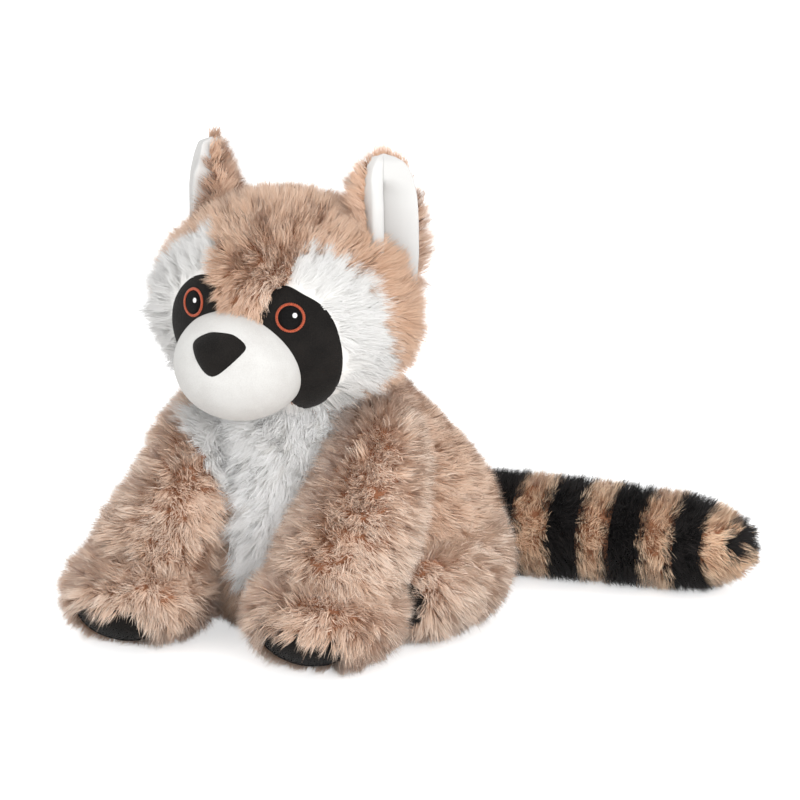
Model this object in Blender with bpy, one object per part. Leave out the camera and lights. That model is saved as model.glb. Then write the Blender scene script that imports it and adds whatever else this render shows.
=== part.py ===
"""A seated plush raccoon: a stuffed toy sewn from long-pile plush and short-pile fabric.

Metres, +Z up. The raccoon faces -Y, its own left side is +X, and it sits on the plane Z = 0.
The origin is on that plane, under the middle of the seated body.

Each piece of fabric that is sewn in is its own solid, filled as the toy is. The pieces are let into
each other: a panel lies in the pile layer of what carries it, and PILE_GAP keeps them apart.
The long pile is modelled as locks: every free face of a long-pile piece rises to a leaning tip.
"""
import math
import random

import bmesh
import bpy
from mathutils import Matrix, Vector
from mathutils.bvhtree import BVHTree

# Clearances and the layer of pile
PILE_GAP = 0.0003            # between pieces that are sewn to each other
HEAD_PILE = 0.0065           # brown and white pile above the head's skin
BODY_PILE = 0.0080           # pile above the body's skin
PAW_PILE = 0.0035            # pile above the pads' level
LOCK_SIZE = 0.0184           # distance from one lock of pile to the next
LOCK_RISE = 0.0048           # height of a lock's tip above its roots
LOCK_LEAN = 0.30             # how far a tip leans, as a share of the lock's size
LOCK_LEAST = 0.0007          # a lock with less room than this stays flat
LOCK_SHARE = 0.36            # how much of the room between two pieces a lock may take
COVERED = 0.0015             # a cell of pile with a corner this close to another piece is covered
MUZZLE_STEP = 0.0088         # length of one step on the smooth muzzle
ROUND = 0.0075               # length of one step on small round pieces

# Head, in its own frame: centre, skin radii, turn to the raccoon's left and tilt to that side
HEAD_CENTRE = Vector((0.0, -0.041, 0.170))
HEAD_SKIN = Vector((0.0600, 0.0495, 0.0515))
HEAD_TURN = math.radians(2.0)
HEAD_TILT = math.radians(2.5)

# Muzzle and nose, from the head's centre
MUZZLE_CENTRE = Vector((-0.0025, -0.0400, -0.0228))
MUZZLE_RADII = Vector((0.0325, 0.0335, 0.0282))
NOSE_HEIGHT = 0.0098         # nose's middle above the muzzle's middle
NOSE_HALF_WIDTH = 0.0138
NOSE_ABOVE = 0.0095
NOSE_BELOW = 0.0115
# The nose's rounded triangle, as shares of its half width and of its height above or below
NOSE_CORNERS = ((-1.0, 0.30), (-0.55, 0.88), (0.0, 1.0), (0.55, 0.88), (1.0, 0.30), (0.55, -0.55),
                (0.0, -1.0), (-0.55, -0.55))
NOSE_CLOTH = 0.0012          # how far the nose stands proud, and is let in

# Face panels, as directions from the head's centre: degrees from straight ahead, degrees up
CHEEK_OUTLINE = ((24, 13), (31, 30), (38, 40), (47, 38), (59, 27), (68, 11), (75, -7),
                 (79, -24), (77, -42), (68, -56), (54, -58), (42, -48), (30, -20), (26, 0))
PATCH_OUTLINE = ((25, 18), (15, 10), (12, -6), (20, -30), (34, -52), (50, -63), (60, -56),
                 (60, -40), (56, -20), (50, -3), (39, 10))
WEDGE_START = 0.015          # the wedges that cut the panels run between these distances
WEDGE_END = 0.240
PATCH_CLOTH = 0.0018         # thickness of the black eye patch
EYE_DIRECTION = (30, 5.5)
EYE_RING_RADIUS = 0.0069
EYE_THREAD = 0.0008          # half the thickness of the embroidered ring
PUPIL_RADIUS = 0.0056
PUPIL_CLOTH = 0.0010
HIGHLIGHT_RADIUS = 0.0014
HIGHLIGHT_CLOTH = 0.0006
HIGHLIGHT_OFFSET = (0.0022, 0.0013)

# Ears, from the head's centre: a leaf that stands in the head and faces out and forward
EAR_ROOT = Vector((0.0488, 0.0100, 0.0175))
EAR_LENGTH = 0.0638
EAR_FACING = math.radians(50)
EAR_SPLAY = math.radians(2)
EAR_HALF_WIDTH = 0.0195
EAR_HALF_THICKNESS = 0.0150
EAR_THINNING = 0.66          # how much thinner the leaf is at its tip
EAR_FRONT = 0.0098           # how far the leaf's front stands ahead of the ear's own plane
EAR_PROFILE = ((0.0, 0.93), (0.25, 1.0), (0.50, 0.96), (0.70, 0.82), (0.85, 0.61), (0.95, 0.37),
               (1.0, 0.14))
LINING_HALF_WIDTH = 0.0140
LINING_LENGTH = 0.0603
LINING_RIM = 0.0092          # front edge of the lining, ahead of the leaf's middle
LINING_BACK = 0.0030
LINING_DISH = 0.0040
LINING_SLOPE = 0.40          # how much nearer the leaf's middle the rim lies at the tip
LINING_STEPS = 6
EAR_LOCK = 0.0150            # distance between an ear's locks

# Body: height, half width, half depth and how far back its middle lies
BODY_RINGS = ((0.000, 0.061, 0.054, 0.022), (0.011, 0.075, 0.072, 0.017),
              (0.034, 0.083, 0.084, 0.013), (0.060, 0.082, 0.083, 0.010),
              (0.084, 0.075, 0.075, 0.004), (0.104, 0.064, 0.062, -0.004),
              (0.122, 0.051, 0.049, -0.013), (0.138, 0.038, 0.036, -0.024))
BODY_TOP = 0.146
BODY_LOCK_SIZE = 1.1 * LOCK_SIZE
BODY_ROW = 0.0160            # height of one row of the body's locks
CHEST_TIP = 0.004            # how far the panel's point hangs below its lower corners
CHEST_OUTLINE = ((0.031, 0.128), (0.034, 0.108), (0.028, 0.088), (0.022, 0.066),
                 (0.018, 0.046), (0.013, 0.026))

# Arms: the line of each from shoulder to wrist, with its half thickness, and the paw
ARM_LINES = {
    "left": ((0.039, -0.022, 0.118), (0.053, -0.044, 0.099),
             (0.053, -0.060, 0.073), (0.046, -0.073, 0.046)),
    "right": ((-0.037, -0.022, 0.120), (-0.045, -0.044, 0.099),
              (-0.046, -0.060, 0.073), (-0.057, -0.073, 0.046)),
}
ARM_FLOW = Vector((0, -0.6, -0.8))
ARM_HALF_THICKNESS = (0.0190, 0.0255, 0.0305, 0.0330)
PAW_CENTRES = {"left": Vector((0.042, -0.077, 0.0268)), "right": Vector((-0.063, -0.079, 0.0262))}
PAW_RADII = Vector((0.0385, 0.0425, 0.0285))
PAD_OFFSET = Vector((0.0, -0.029, -0.024))
PAD_RADII = Vector((0.0240, 0.0200, 0.0165))

# Hind legs: from the hip to the foot, half width and half height, and the pad on the foot's front
LEG_LINE = ((0.052, 0.044, 0.036), (0.063, 0.016, 0.0335), (0.064, -0.021, 0.0285))
LEG_HALF_WIDTH = (0.026, 0.0305, 0.0262)
LEG_HALF_HEIGHT = (0.030, 0.0325, 0.0275)
LEG_PAD_OFFSET = (-0.006, -0.0235, -0.006)
LEG_PAD_RADII = Vector((0.0175, 0.0125, 0.0190))

# Tail: its middle line from the body's back to the tip, its half thickness and its bands
TAIL_LINE = ((-0.006, 0.070, 0.034), (0.012, 0.106, 0.031), (0.040, 0.123, 0.029),
             (0.094, 0.134, 0.0275), (0.145, 0.140, 0.0258), (0.169, 0.143, 0.0258))
TAIL_HALF_THICKNESS = (0.0270, 0.0283, 0.0287, 0.0276, 0.0258, 0.0175)
TAIL_BAND_ENDS = (0.0, 0.439, 0.515, 0.571, 0.641, 0.702, 0.778, 0.866, 0.970, 1.0)
TAIL_DOME = 0.45             # how far the tip's dome stands out, as a share of its half thickness

# Colours, as linear red, green and blue
BROWN = (0.33, 0.21, 0.15)
WHITE = (0.80, 0.79, 0.77)
BLACK = (0.020, 0.017, 0.015)
RUST = (0.48, 0.11, 0.03)
COLOURS = {"brown": BROWN, "white": WHITE, "black": BLACK, "rust": RUST}
PILE_ROUGHNESS = 0.95
THREAD_ROUGHNESS = 0.55

SIDES = {"left": 1, "right": -1}
UPRIGHT = Matrix.Identity(3)
DOME_ANGLES = (75, 50, 25)   # degrees of the rings on a bar's round ends
TRIM_STEPS = 12              # sides of the eyes' round pieces
OUTLINE_STEPS = 3            # points on an outline for each one that is given
FAR = 0.5                    # a length beyond the whole toy, for tools that cut through
TIDY = 1e-6                  # points closer than this are one point
CHANCE = random.Random(7)


# Closed meshes from rings of points

def new_mesh(bm):
    """The bmesh as a mesh, with its faces turned outward."""
    bmesh.ops.recalc_face_normals(bm, faces=bm.faces)
    if bm.calc_volume(signed=True) < 0:
        bmesh.ops.reverse_faces(bm, faces=bm.faces)
    mesh = bpy.data.meshes.new("form")
    bm.to_mesh(mesh)
    bm.free()
    return mesh


def skin(rings, start, end, pile=False):
    """A closed mesh over rings of points, with a point at each end.

    On long pile each cell between two rings gets a point in its middle, which can rise to a lock's tip.
    """
    bm = bmesh.new()
    rows = [[bm.verts.new(point) for point in ring] for ring in rings]
    count = len(rows[0])
    for low, high in zip(rows, rows[1:]):
        for i in range(count):
            j = (i + 1) % count
            cell = (low[i], low[j], high[j], high[i])
            if pile:
                tip = bm.verts.new(sum((corner.co for corner in cell), Vector()) / 4)
                for a, b in zip(cell, cell[1:] + cell[:1]):
                    bm.faces.new((a, b, tip))
            else:
                bm.faces.new(cell[:3])
                bm.faces.new((cell[0], cell[2], cell[3]))
    for row, point in ((rows[0], start), (rows[-1], end)):
        pole = bm.verts.new(point)
        for i in range(count):
            bm.faces.new((row[i], row[(i + 1) % count], pole))
    return new_mesh(bm)


def slip(fronts, backs):
    """A closed mesh between two grids of points, joined along their borders."""
    bm = bmesh.new()
    front, back = [[[bm.verts.new(point) for point in row] for row in grid] for grid in (fronts, backs)]
    rows, columns = len(front) - 1, len(front[0]) - 1
    for grid in (front, back):
        for i in range(rows):
            for j in range(columns):
                cell = (grid[i][j], grid[i + 1][j], grid[i + 1][j + 1], grid[i][j + 1])
                bm.faces.new(cell[:3])
                bm.faces.new((cell[0], cell[2], cell[3]))
    border = [(0, j) for j in range(columns)] + [(i, columns) for i in range(rows)]
    border += [(rows, j) for j in range(columns, 0, -1)] + [(i, 0) for i in range(rows, 0, -1)]
    for (i, j), (m, n) in zip(border, border[1:] + border[:1]):
        bm.faces.new((front[i][j], front[m][n], back[m][n], back[i][j]))
    return new_mesh(bm)


def ring_of(centre, across, along, count, shift):
    """An ellipse of points. Shift turns every second ring by half a step, so that locks stagger."""
    points = []
    for i in range(count):
        angle = 2 * math.pi * (i + 0.5 * shift) / count
        points.append(centre + across * math.cos(angle) + along * math.sin(angle))
    return points


def steps_for(length, step):
    """How many steps of about this size a length takes."""
    return max(3, round(length / step))


def ellipsoid(centre, radii, spin=UPRIGHT, grow=0.0, step=LOCK_SIZE, pile=False):
    """A round form, its poles up and down. Its faces don't depend on grow, so levels stay parallel."""
    sides = steps_for(math.pi * (radii.x + radii.y), step)
    rows = steps_for(math.pi * (radii.y + radii.z) / 2, step)
    size = radii + Vector((grow, grow, grow))
    rings = []
    for row in range(1, rows):
        polar = math.pi * row / rows
        middle = centre - spin @ Vector((0, 0, size.z * math.cos(polar)))
        across = spin @ Vector((size.x * math.sin(polar), 0, 0))
        along = spin @ Vector((0, size.y * math.sin(polar), 0))
        rings.append(ring_of(middle, across, along, sides, row % 2))
    lift = spin @ Vector((0, 0, size.z))
    return skin(rings, centre - lift, centre + lift, pile)


def smooth_value(values, t):
    """The value at t, from 0 to 1, on a smooth curve through evenly spaced values."""
    last = len(values) - 1
    place = min(max(t, 0.0), 1.0) * last
    i = min(int(place), last - 1)
    f = place - i
    a, b = values[i], values[i + 1]
    before = values[i - 1] if i > 0 else a + (a - b)
    after = values[i + 2] if i + 2 <= last else b + (b - a)
    return curve_point(before, a, b, after, f)


def curve_point(before, a, b, after, f):
    """The point between a and b of a smooth curve that runs through all four."""
    return (a * 2 + (b - before) * f + (before * 2 - a * 5 + b * 4 - after) * f * f
            + (a * 3 - before - b * 3 + after) * f * f * f) * 0.5


def rounded_bar(line, half_widths, half_heights, grow=0.0, step=LOCK_SIZE, pile=False):
    """A bar along a smooth line, with domed ends. Width is level and height is square to it."""
    points = [Vector(p) for p in line]
    length = sum((b - a).length for a, b in zip(points, points[1:]))
    count = steps_for(length, step)
    widest = max(half_widths) + max(half_heights)
    sides = steps_for(math.pi * widest, step)
    rings = []
    places = [i / count for i in range(count + 1)]
    frames = []
    for t in places:
        here = smooth_value(points, t)
        ahead = smooth_value(points, min(t + 0.01, 1.0)) - smooth_value(points, max(t - 0.01, 0.0))
        ahead.normalize()
        level = ahead.cross(Vector((0, 0, 1))).normalized()
        frames.append((here, ahead, level, level.cross(ahead), smooth_value(half_widths, t) + grow,
                       smooth_value(half_heights, t) + grow))
    ends = ((frames[0], -1, DOME_ANGLES), (None, 0, ()), (frames[-1], 1, DOME_ANGLES[::-1]))
    for end, sign, angles in ends:
        if end is None:
            for here, ahead, level, up, wide, high in frames:
                rings.append(ring_of(here, level * wide, up * high, sides, len(rings) % 2))
            continue
        here, ahead, level, up, wide, high = end
        reach = min(wide, high)
        for angle in angles:
            out = ahead * (sign * reach * math.sin(math.radians(angle)))
            share = math.cos(math.radians(angle))
            rings.append(ring_of(here + out, level * wide * share, up * high * share, sides,
                                 len(rings) % 2))
    first, last = frames[0], frames[-1]
    start = first[0] - first[1] * min(first[4], first[5])
    end = last[0] + last[1] * min(last[4], last[5])
    return skin(rings, start, end, pile)


def prism(outline, low, high):
    """A solid with an outline in X and Z, from Y = low to Y = high."""
    bm = bmesh.new()
    near = [bm.verts.new((x, low, z)) for x, z in outline]
    far = [bm.verts.new((x, high, z)) for x, z in outline]
    bm.faces.new(near)
    bm.faces.new(far)
    count = len(outline)
    for i in range(count):
        j = (i + 1) % count
        bm.faces.new((near[i], near[j], far[j], far[i]))
    return new_mesh(bm)


# Solids from solids

def combine(base, tool, operation):
    """A new mesh: base with tool taken off (DIFFERENCE), added (UNION) or in common (INTERSECT).

    The MANIFOLD solver is used because EXACT loses pieces where thin panels cross these round levels.
    """
    pair = [bpy.data.objects.new("work", mesh) for mesh in (base, tool)]
    for item in pair:
        bpy.context.scene.collection.objects.link(item)
    step = pair[0].modifiers.new("combine", "BOOLEAN")
    step.operation = operation
    step.solver = "MANIFOLD"
    step.object = pair[1]
    shaped = pair[0].evaluated_get(bpy.context.evaluated_depsgraph_get())
    result = bpy.data.meshes.new_from_object(shaped)
    for item in pair:
        bpy.data.objects.remove(item)
    bm = bmesh.new()
    bm.from_mesh(result)
    bmesh.ops.triangulate(bm, faces=[face for face in bm.faces if len(face.verts) > 4])
    bm.to_mesh(result)
    bm.free()
    return result


def without(base, *tools):
    """The base with each tool taken off it."""
    for tool in tools:
        base = combine(base, tool, "DIFFERENCE")
    return base


def flat_bottomed(mesh):
    """The form pressed flat where it meets the plane that the toy sits on."""
    for vertex in mesh.vertices:
        vertex.co.z = max(vertex.co.z, 0.0)
    return mesh


# The head's frame

HEAD_SPIN = Matrix.Rotation(HEAD_TURN, 3, "Z") @ Matrix.Rotation(HEAD_TILT, 3, "Y")
HEAD_FRAME = Matrix.Translation(HEAD_CENTRE) @ HEAD_SPIN.to_4x4()


def direction(degrees_aside, degrees_up, side=1):
    """A unit vector in the head's frame, from straight ahead (-Y)."""
    aside, up = math.radians(degrees_aside), math.radians(degrees_up)
    return Vector((side * math.sin(aside) * math.cos(up), -math.cos(aside) * math.cos(up), math.sin(up)))


def skin_distance(way, grow):
    """How far the head's skin, grown by some height, lies from its centre in a direction."""
    size = HEAD_SKIN + Vector((grow, grow, grow))
    return 1.0 / math.sqrt(sum((way[i] / size[i]) ** 2 for i in range(3)))


def closed_curve(points, steps):
    """Points on a smooth closed curve through the points given."""
    count = len(points)
    curve = []
    for i in range(count):
        for k in range(steps):
            curve.append(curve_point(points[i - 1], points[i], points[(i + 1) % count],
                                     points[(i + 2) % count], k / steps))
    return curve


def widened(ways, angle):
    """Directions of an outline moved outward by a small angle."""
    middle = sum(ways, Vector()).normalized()
    moved = []
    for i, way in enumerate(ways):
        edge = (ways[(i + 1) % len(ways)] - ways[i - 1]).normalized()
        out = way.cross(edge).normalized()
        if out.dot(way - middle) < 0:
            out.negate()
        moved.append((way + out * angle).normalized())
    return moved


def head_wedge(outline, side, gap=0.0):
    """A wedge from the head's centre outward, through an outline given as directions."""
    corners = [direction(aside, up, side) for aside, up in outline]
    ways = [way.normalized() for way in closed_curve(corners, OUTLINE_STEPS)]
    if gap:
        ways = widened(ways, gap / HEAD_SKIN.y)
    middle = sum(ways, Vector()).normalized()
    near, far = WEDGE_START, WEDGE_END
    rings = [[HEAD_FRAME @ (way * reach) for way in ways] for reach in (near, far)]
    return skin(rings, HEAD_FRAME @ (middle * near), HEAD_FRAME @ (middle * far))


def head_form(grow=0.0, pile=False):
    """The head's skin, grown by some height."""
    return ellipsoid(HEAD_CENTRE, HEAD_SKIN, HEAD_SPIN, grow, LOCK_SIZE, pile)


def muzzle_form(grow=0.0):
    """The muzzle's whole round form, which is sewn on the front of the head."""
    return ellipsoid(HEAD_FRAME @ MUZZLE_CENTRE, MUZZLE_RADII, HEAD_SPIN, grow, MUZZLE_STEP)


def nose_prism(gap=0.0):
    """The nose's rounded triangle, run through the muzzle's front."""
    outline = []
    for point in closed_curve([Vector(corner) for corner in NOSE_CORNERS], OUTLINE_STEPS):
        tall = NOSE_ABOVE if point.y > 0 else NOSE_BELOW
        place = Vector((point.x * NOSE_HALF_WIDTH, point.y * tall))
        place += place.normalized() * gap
        outline.append((place.x, place.y + MUZZLE_CENTRE.z + NOSE_HEIGHT))
    mesh = prism(outline, MUZZLE_CENTRE.y - FAR, MUZZLE_CENTRE.y)
    mesh.transform(HEAD_FRAME)
    return mesh


def on_head(middle, aside, up, height):
    """A point over the head, beside a middle direction, at a height above the skin."""
    level = Vector((0, 0, 1)).cross(middle).normalized()
    rise = middle.cross(level)
    reach = skin_distance(middle, height)
    way = (middle * reach + level * aside + rise * up).normalized()
    return HEAD_FRAME @ (way * skin_distance(way, height))


def button(middle, aside, up, radius, low, high):
    """A thin round piece that follows the head's curve, from one height to another."""
    rings = []
    for share, height in ((1.0, low), (1.0, (low + high) / 2), (0.7, high)):
        ring = []
        for i in range(TRIM_STEPS):
            angle = 2 * math.pi * i / TRIM_STEPS
            ring.append(on_head(middle, aside + share * radius * math.cos(angle),
                                up + share * radius * math.sin(angle), height))
        rings.append(ring)
    return skin(rings, on_head(middle, aside, up, low), on_head(middle, aside, up, high))


def thread_ring(middle, radius, half_thread, height):
    """A ring of embroidery that follows the head's curve."""
    bm = bmesh.new()
    around = 6
    rows = []
    for i in range(TRIM_STEPS):
        angle = 2 * math.pi * i / TRIM_STEPS
        row = []
        for k in range(around):
            roll = 2 * math.pi * k / around
            reach = radius + half_thread * math.cos(roll)
            row.append(bm.verts.new(on_head(middle, reach * math.cos(angle), reach * math.sin(angle),
                                            height + half_thread * math.sin(roll))))
        rows.append(row)
    for i in range(TRIM_STEPS):
        here, there = rows[i], rows[(i + 1) % TRIM_STEPS]
        for k in range(around):
            m = (k + 1) % around
            bm.faces.new((here[k], there[k], there[m], here[m]))
    return new_mesh(bm)


# Ears

def ear_frame(side):
    """The ear's own frame: X along its width, Y the way it faces, Z up the leaf."""
    facing = Vector((side * math.sin(EAR_FACING), -math.cos(EAR_FACING), 0))
    up = Vector((side * math.sin(EAR_SPLAY), 0, math.cos(EAR_SPLAY)))
    wide = facing.cross(up).normalized()
    facing = up.cross(wide)
    turn = Matrix((wide, facing, up)).transposed().to_4x4()
    root = Vector((side * EAR_ROOT.x, EAR_ROOT.y, EAR_ROOT.z))
    return HEAD_FRAME @ Matrix.Translation(root) @ turn


def leaf_width(t, half_width):
    """Half width of a leaf at t, from root to tip."""
    for (t0, w0), (t1, w1) in zip(EAR_PROFILE, EAR_PROFILE[1:]):
        if t <= t1:
            return half_width * (w0 + (w1 - w0) * (t - t0) / (t1 - t0))
    return half_width * EAR_PROFILE[-1][1]


def ear_leaf(side, grow=0.0):
    """The furry ear as a whole leaf."""
    sides = steps_for(math.pi * (EAR_HALF_WIDTH + EAR_HALF_THICKNESS), EAR_LOCK)
    rings = []
    for row, (t, _) in enumerate(EAR_PROFILE):
        wide = leaf_width(t, EAR_HALF_WIDTH) + grow
        thick = EAR_HALF_THICKNESS * (1 - EAR_THINNING * t)
        front = EAR_FRONT * (1 - LINING_SLOPE * t)
        rings.append(ring_of(Vector((0, front - thick, t * EAR_LENGTH)), Vector((wide, 0, 0)),
                             Vector((0, thick + grow, 0)), sides, row % 2))
    root = Vector((0, EAR_FRONT - EAR_HALF_THICKNESS, 0))
    tip = Vector((0, front - thick, EAR_LENGTH + grow))
    mesh = skin(rings, root, tip, pile=True)
    mesh.transform(ear_frame(side))
    return mesh


def ear_lining(side, gap=0.0, opened=0.0):
    """The lining: a dished slip of fabric in the leaf's front. Opened runs it out, as a tool."""
    fronts, backs = [], []
    for t, _ in EAR_PROFILE:
        wide = leaf_width(t, LINING_HALF_WIDTH) + gap
        height = t * (LINING_LENGTH + 3 * gap) - gap
        rim = LINING_RIM * (1 - LINING_SLOPE * t)
        front, back = [], []
        for i in range(LINING_STEPS + 1):
            share = 2 * i / LINING_STEPS - 1
            hollow = 1 - share * share
            front.append(Vector((share * wide, opened or rim - LINING_DISH * hollow * (1 - t * t), height)))
            back.append(Vector((share * wide, LINING_BACK - gap, height)))
        fronts.append(front)
        backs.append(back)
    mesh = slip(fronts, backs)
    mesh.transform(ear_frame(side))
    return mesh


# Body, arms, legs and tail

def body_form(grow=0.0, pile=False):
    """The seated body: rings from the seat up to the neck, grown outward by some height."""
    sides = steps_for(2 * math.pi * BODY_RINGS[2][1], BODY_LOCK_SIZE)
    height = BODY_RINGS[-1][0]
    rows = steps_for(height, BODY_ROW)
    rings = []
    for row in range(rows + 1):
        wide, deep, back, z = body_ring(height * row / rows)
        rings.append(ring_of(Vector((0, back, z)), Vector((wide + grow, 0, 0)),
                             Vector((0, deep + grow, 0)), sides, row % 2))
    back = BODY_RINGS[0][3]
    return skin(rings, Vector((0, back, 0)), Vector((0, BODY_RINGS[-1][3], BODY_TOP + grow)), pile)


def body_ring(z):
    """Half width, half depth and middle of the body at a height, on straight runs between rings."""
    for low, high in zip(BODY_RINGS, BODY_RINGS[1:]):
        if z <= high[0] + TIDY:
            f = (z - low[0]) / (high[0] - low[0])
            return tuple(low[k] + (high[k] - low[k]) * f for k in (1, 2, 3)) + (z,)
    return BODY_RINGS[-1][1:] + (z,)


def chest_prism(gap=0.0):
    """The white chest panel's outline, run back to the body's middle."""
    right = [(x + gap, z) for x, z in CHEST_OUTLINE]
    top, bottom = right[0], right[-1]
    right[0] = (top[0], top[1] + gap)
    right[-1] = (bottom[0], bottom[1] - gap)
    left = [(-x, z) for x, z in reversed(right)]
    tip = (0.0, bottom[1] - gap - CHEST_TIP)
    return prism(right + [tip] + left, -FAR, 0.0)


def arm_form(side_name, grow=0.0):
    """An arm from shoulder to wrist, run into its paw."""
    thick = ARM_HALF_THICKNESS
    upper = rounded_bar(ARM_LINES[side_name], thick, thick, grow, pile=True)
    return flat_bottomed(combine(upper, paw_form(side_name, grow, pile=True), "UNION"))


def paw_form(side_name, grow=0.0, pile=False):
    """A paw, pressed flat on the ground."""
    return flat_bottomed(ellipsoid(PAW_CENTRES[side_name], PAW_RADII, UPRIGHT, grow, LOCK_SIZE, pile))


def pad_tool(side_name, gap=0.0):
    """The space of a paw's pad, on its front underside."""
    return ellipsoid(PAW_CENTRES[side_name] + PAD_OFFSET, PAD_RADII, UPRIGHT, gap, ROUND)


def leg_form(side, grow=0.0, pile=False):
    """A hind leg: the thigh beside the body and the foot ahead of it."""
    line = [(side * x, y, z) for x, y, z in LEG_LINE]
    return flat_bottomed(rounded_bar(line, LEG_HALF_WIDTH, LEG_HALF_HEIGHT, grow, LOCK_SIZE, pile))


def leg_pad_tool(side, gap=0.0):
    """The space of a hind foot's pad."""
    x, y, z = [foot + offset for foot, offset in zip(LEG_LINE[-1], LEG_PAD_OFFSET)]
    return ellipsoid(Vector((side * x, y, z)), LEG_PAD_RADII, UPRIGHT, gap, ROUND)


def tail_ring(t, sides, shift, grow=0.0):
    """A ring of the tail at t, from the body to the tip, square to its line."""
    points = [Vector(p) for p in TAIL_LINE]
    here = smooth_value(points, t)
    ahead = smooth_value(points, min(t + 0.01, 1.0)) - smooth_value(points, max(t - 0.01, 0.0))
    ahead.normalize()
    level = ahead.cross(Vector((0, 0, 1))).normalized()
    radius = smooth_value(TAIL_HALF_THICKNESS, t) + grow
    return here, ahead, ring_of(here, level * radius, level.cross(ahead) * radius, sides, shift)


def tail_length():
    """The length of the tail's middle line."""
    points = [smooth_value([Vector(p) for p in TAIL_LINE], i / 50) for i in range(51)]
    return sum((b - a).length for a, b in zip(points, points[1:]))


def tail_band(number):
    """One band of the tail, with flat ends, or a domed end on the last."""
    length = tail_length()
    start, end = TAIL_BAND_ENDS[number - 1], TAIL_BAND_ENDS[number]
    last = number == len(TAIL_BAND_ENDS) - 1
    half_gap = 0.5 * PILE_GAP / length
    start, end = start + half_gap, end - half_gap
    sides = steps_for(2 * math.pi * max(TAIL_HALF_THICKNESS), LOCK_SIZE)
    rows = max(1, round((end - start) * length / LOCK_SIZE))
    rings = []
    for row in range(rows + 1):
        here, ahead, ring = tail_ring(start + (end - start) * row / rows, sides, row % 2)
        if row == 0:
            first = here
        rings.append(ring)
    if last:
        here = here + ahead * TAIL_HALF_THICKNESS[-1] * TAIL_DOME
    return flat_bottomed(skin(rings, first, here, pile=True))


# Locks of pile

def tree_of(meshes):
    """A search tree over meshes, to tell how much room a lock has."""
    bm = bmesh.new()
    for mesh in meshes:
        bm.from_mesh(mesh)
    tree = BVHTree.FromBMesh(bm)
    bm.free()
    return tree


def is_cell_middle(vertex):
    """Whether a point is the middle of a whole cell of pile, untouched by any cut."""
    if len(vertex.link_faces) != 4:
        return False
    around = [edge.other_vert(vertex).co for edge in vertex.link_edges]
    return (vertex.co - sum(around, Vector()) / 4).length < TIDY


def raise_locks(mesh, others, flow):
    """The middle of every free cell of pile rises to a tip that leans along the flow of the pile."""
    bm = bmesh.new()
    bm.from_mesh(mesh)
    bm.normal_update()
    for vertex in [v for v in bm.verts if is_cell_middle(v)]:
        centre, normal = vertex.co.copy(), vertex.normal.copy()
        size = sum(edge.calc_length() for edge in vertex.link_edges) / 2
        chance = CHANCE.uniform(0.7, 1.3)
        swing = Vector([CHANCE.uniform(-0.5, 0.5) for _ in range(3)])
        corners = [edge.other_vert(vertex).co for edge in vertex.link_edges]
        if min(others.find_nearest(corner)[3] for corner in corners) < COVERED:
            continue
        if centre.z < LOCK_RISE and normal.z < -0.3:
            continue
        room = LOCK_SHARE * others.find_nearest(centre)[3] - PILE_GAP
        lean = flow(centre) + swing
        lean -= normal * lean.dot(normal)
        lock = normal * (LOCK_RISE * chance) + lean * (LOCK_LEAN * size / 2)
        lock *= min(1.0, room / lock.length)
        if lock.dot(normal) < LOCK_LEAST:
            continue
        vertex.co = centre + lock
        vertex.co.z = max(vertex.co.z, PILE_GAP)
    bm.to_mesh(mesh)
    bm.free()


def flow_down(point):
    """Pile that hangs."""
    return Vector((0, 0, -1))


def flow_from_face(point):
    """Pile of the head, which is combed away from the face's middle."""
    away = point - (HEAD_FRAME @ Vector((0, -HEAD_SKIN.y, 0)))
    return away.normalized()


def flow_to_paw(point):
    """Pile of the arms, which runs down and forward to the paws."""
    return ARM_FLOW


def flow_to_tip(point):
    """Pile of the tail, which runs towards its tip."""
    return (Vector(TAIL_LINE[-1]) - Vector(TAIL_LINE[2])).normalized()


# The toy

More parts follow.
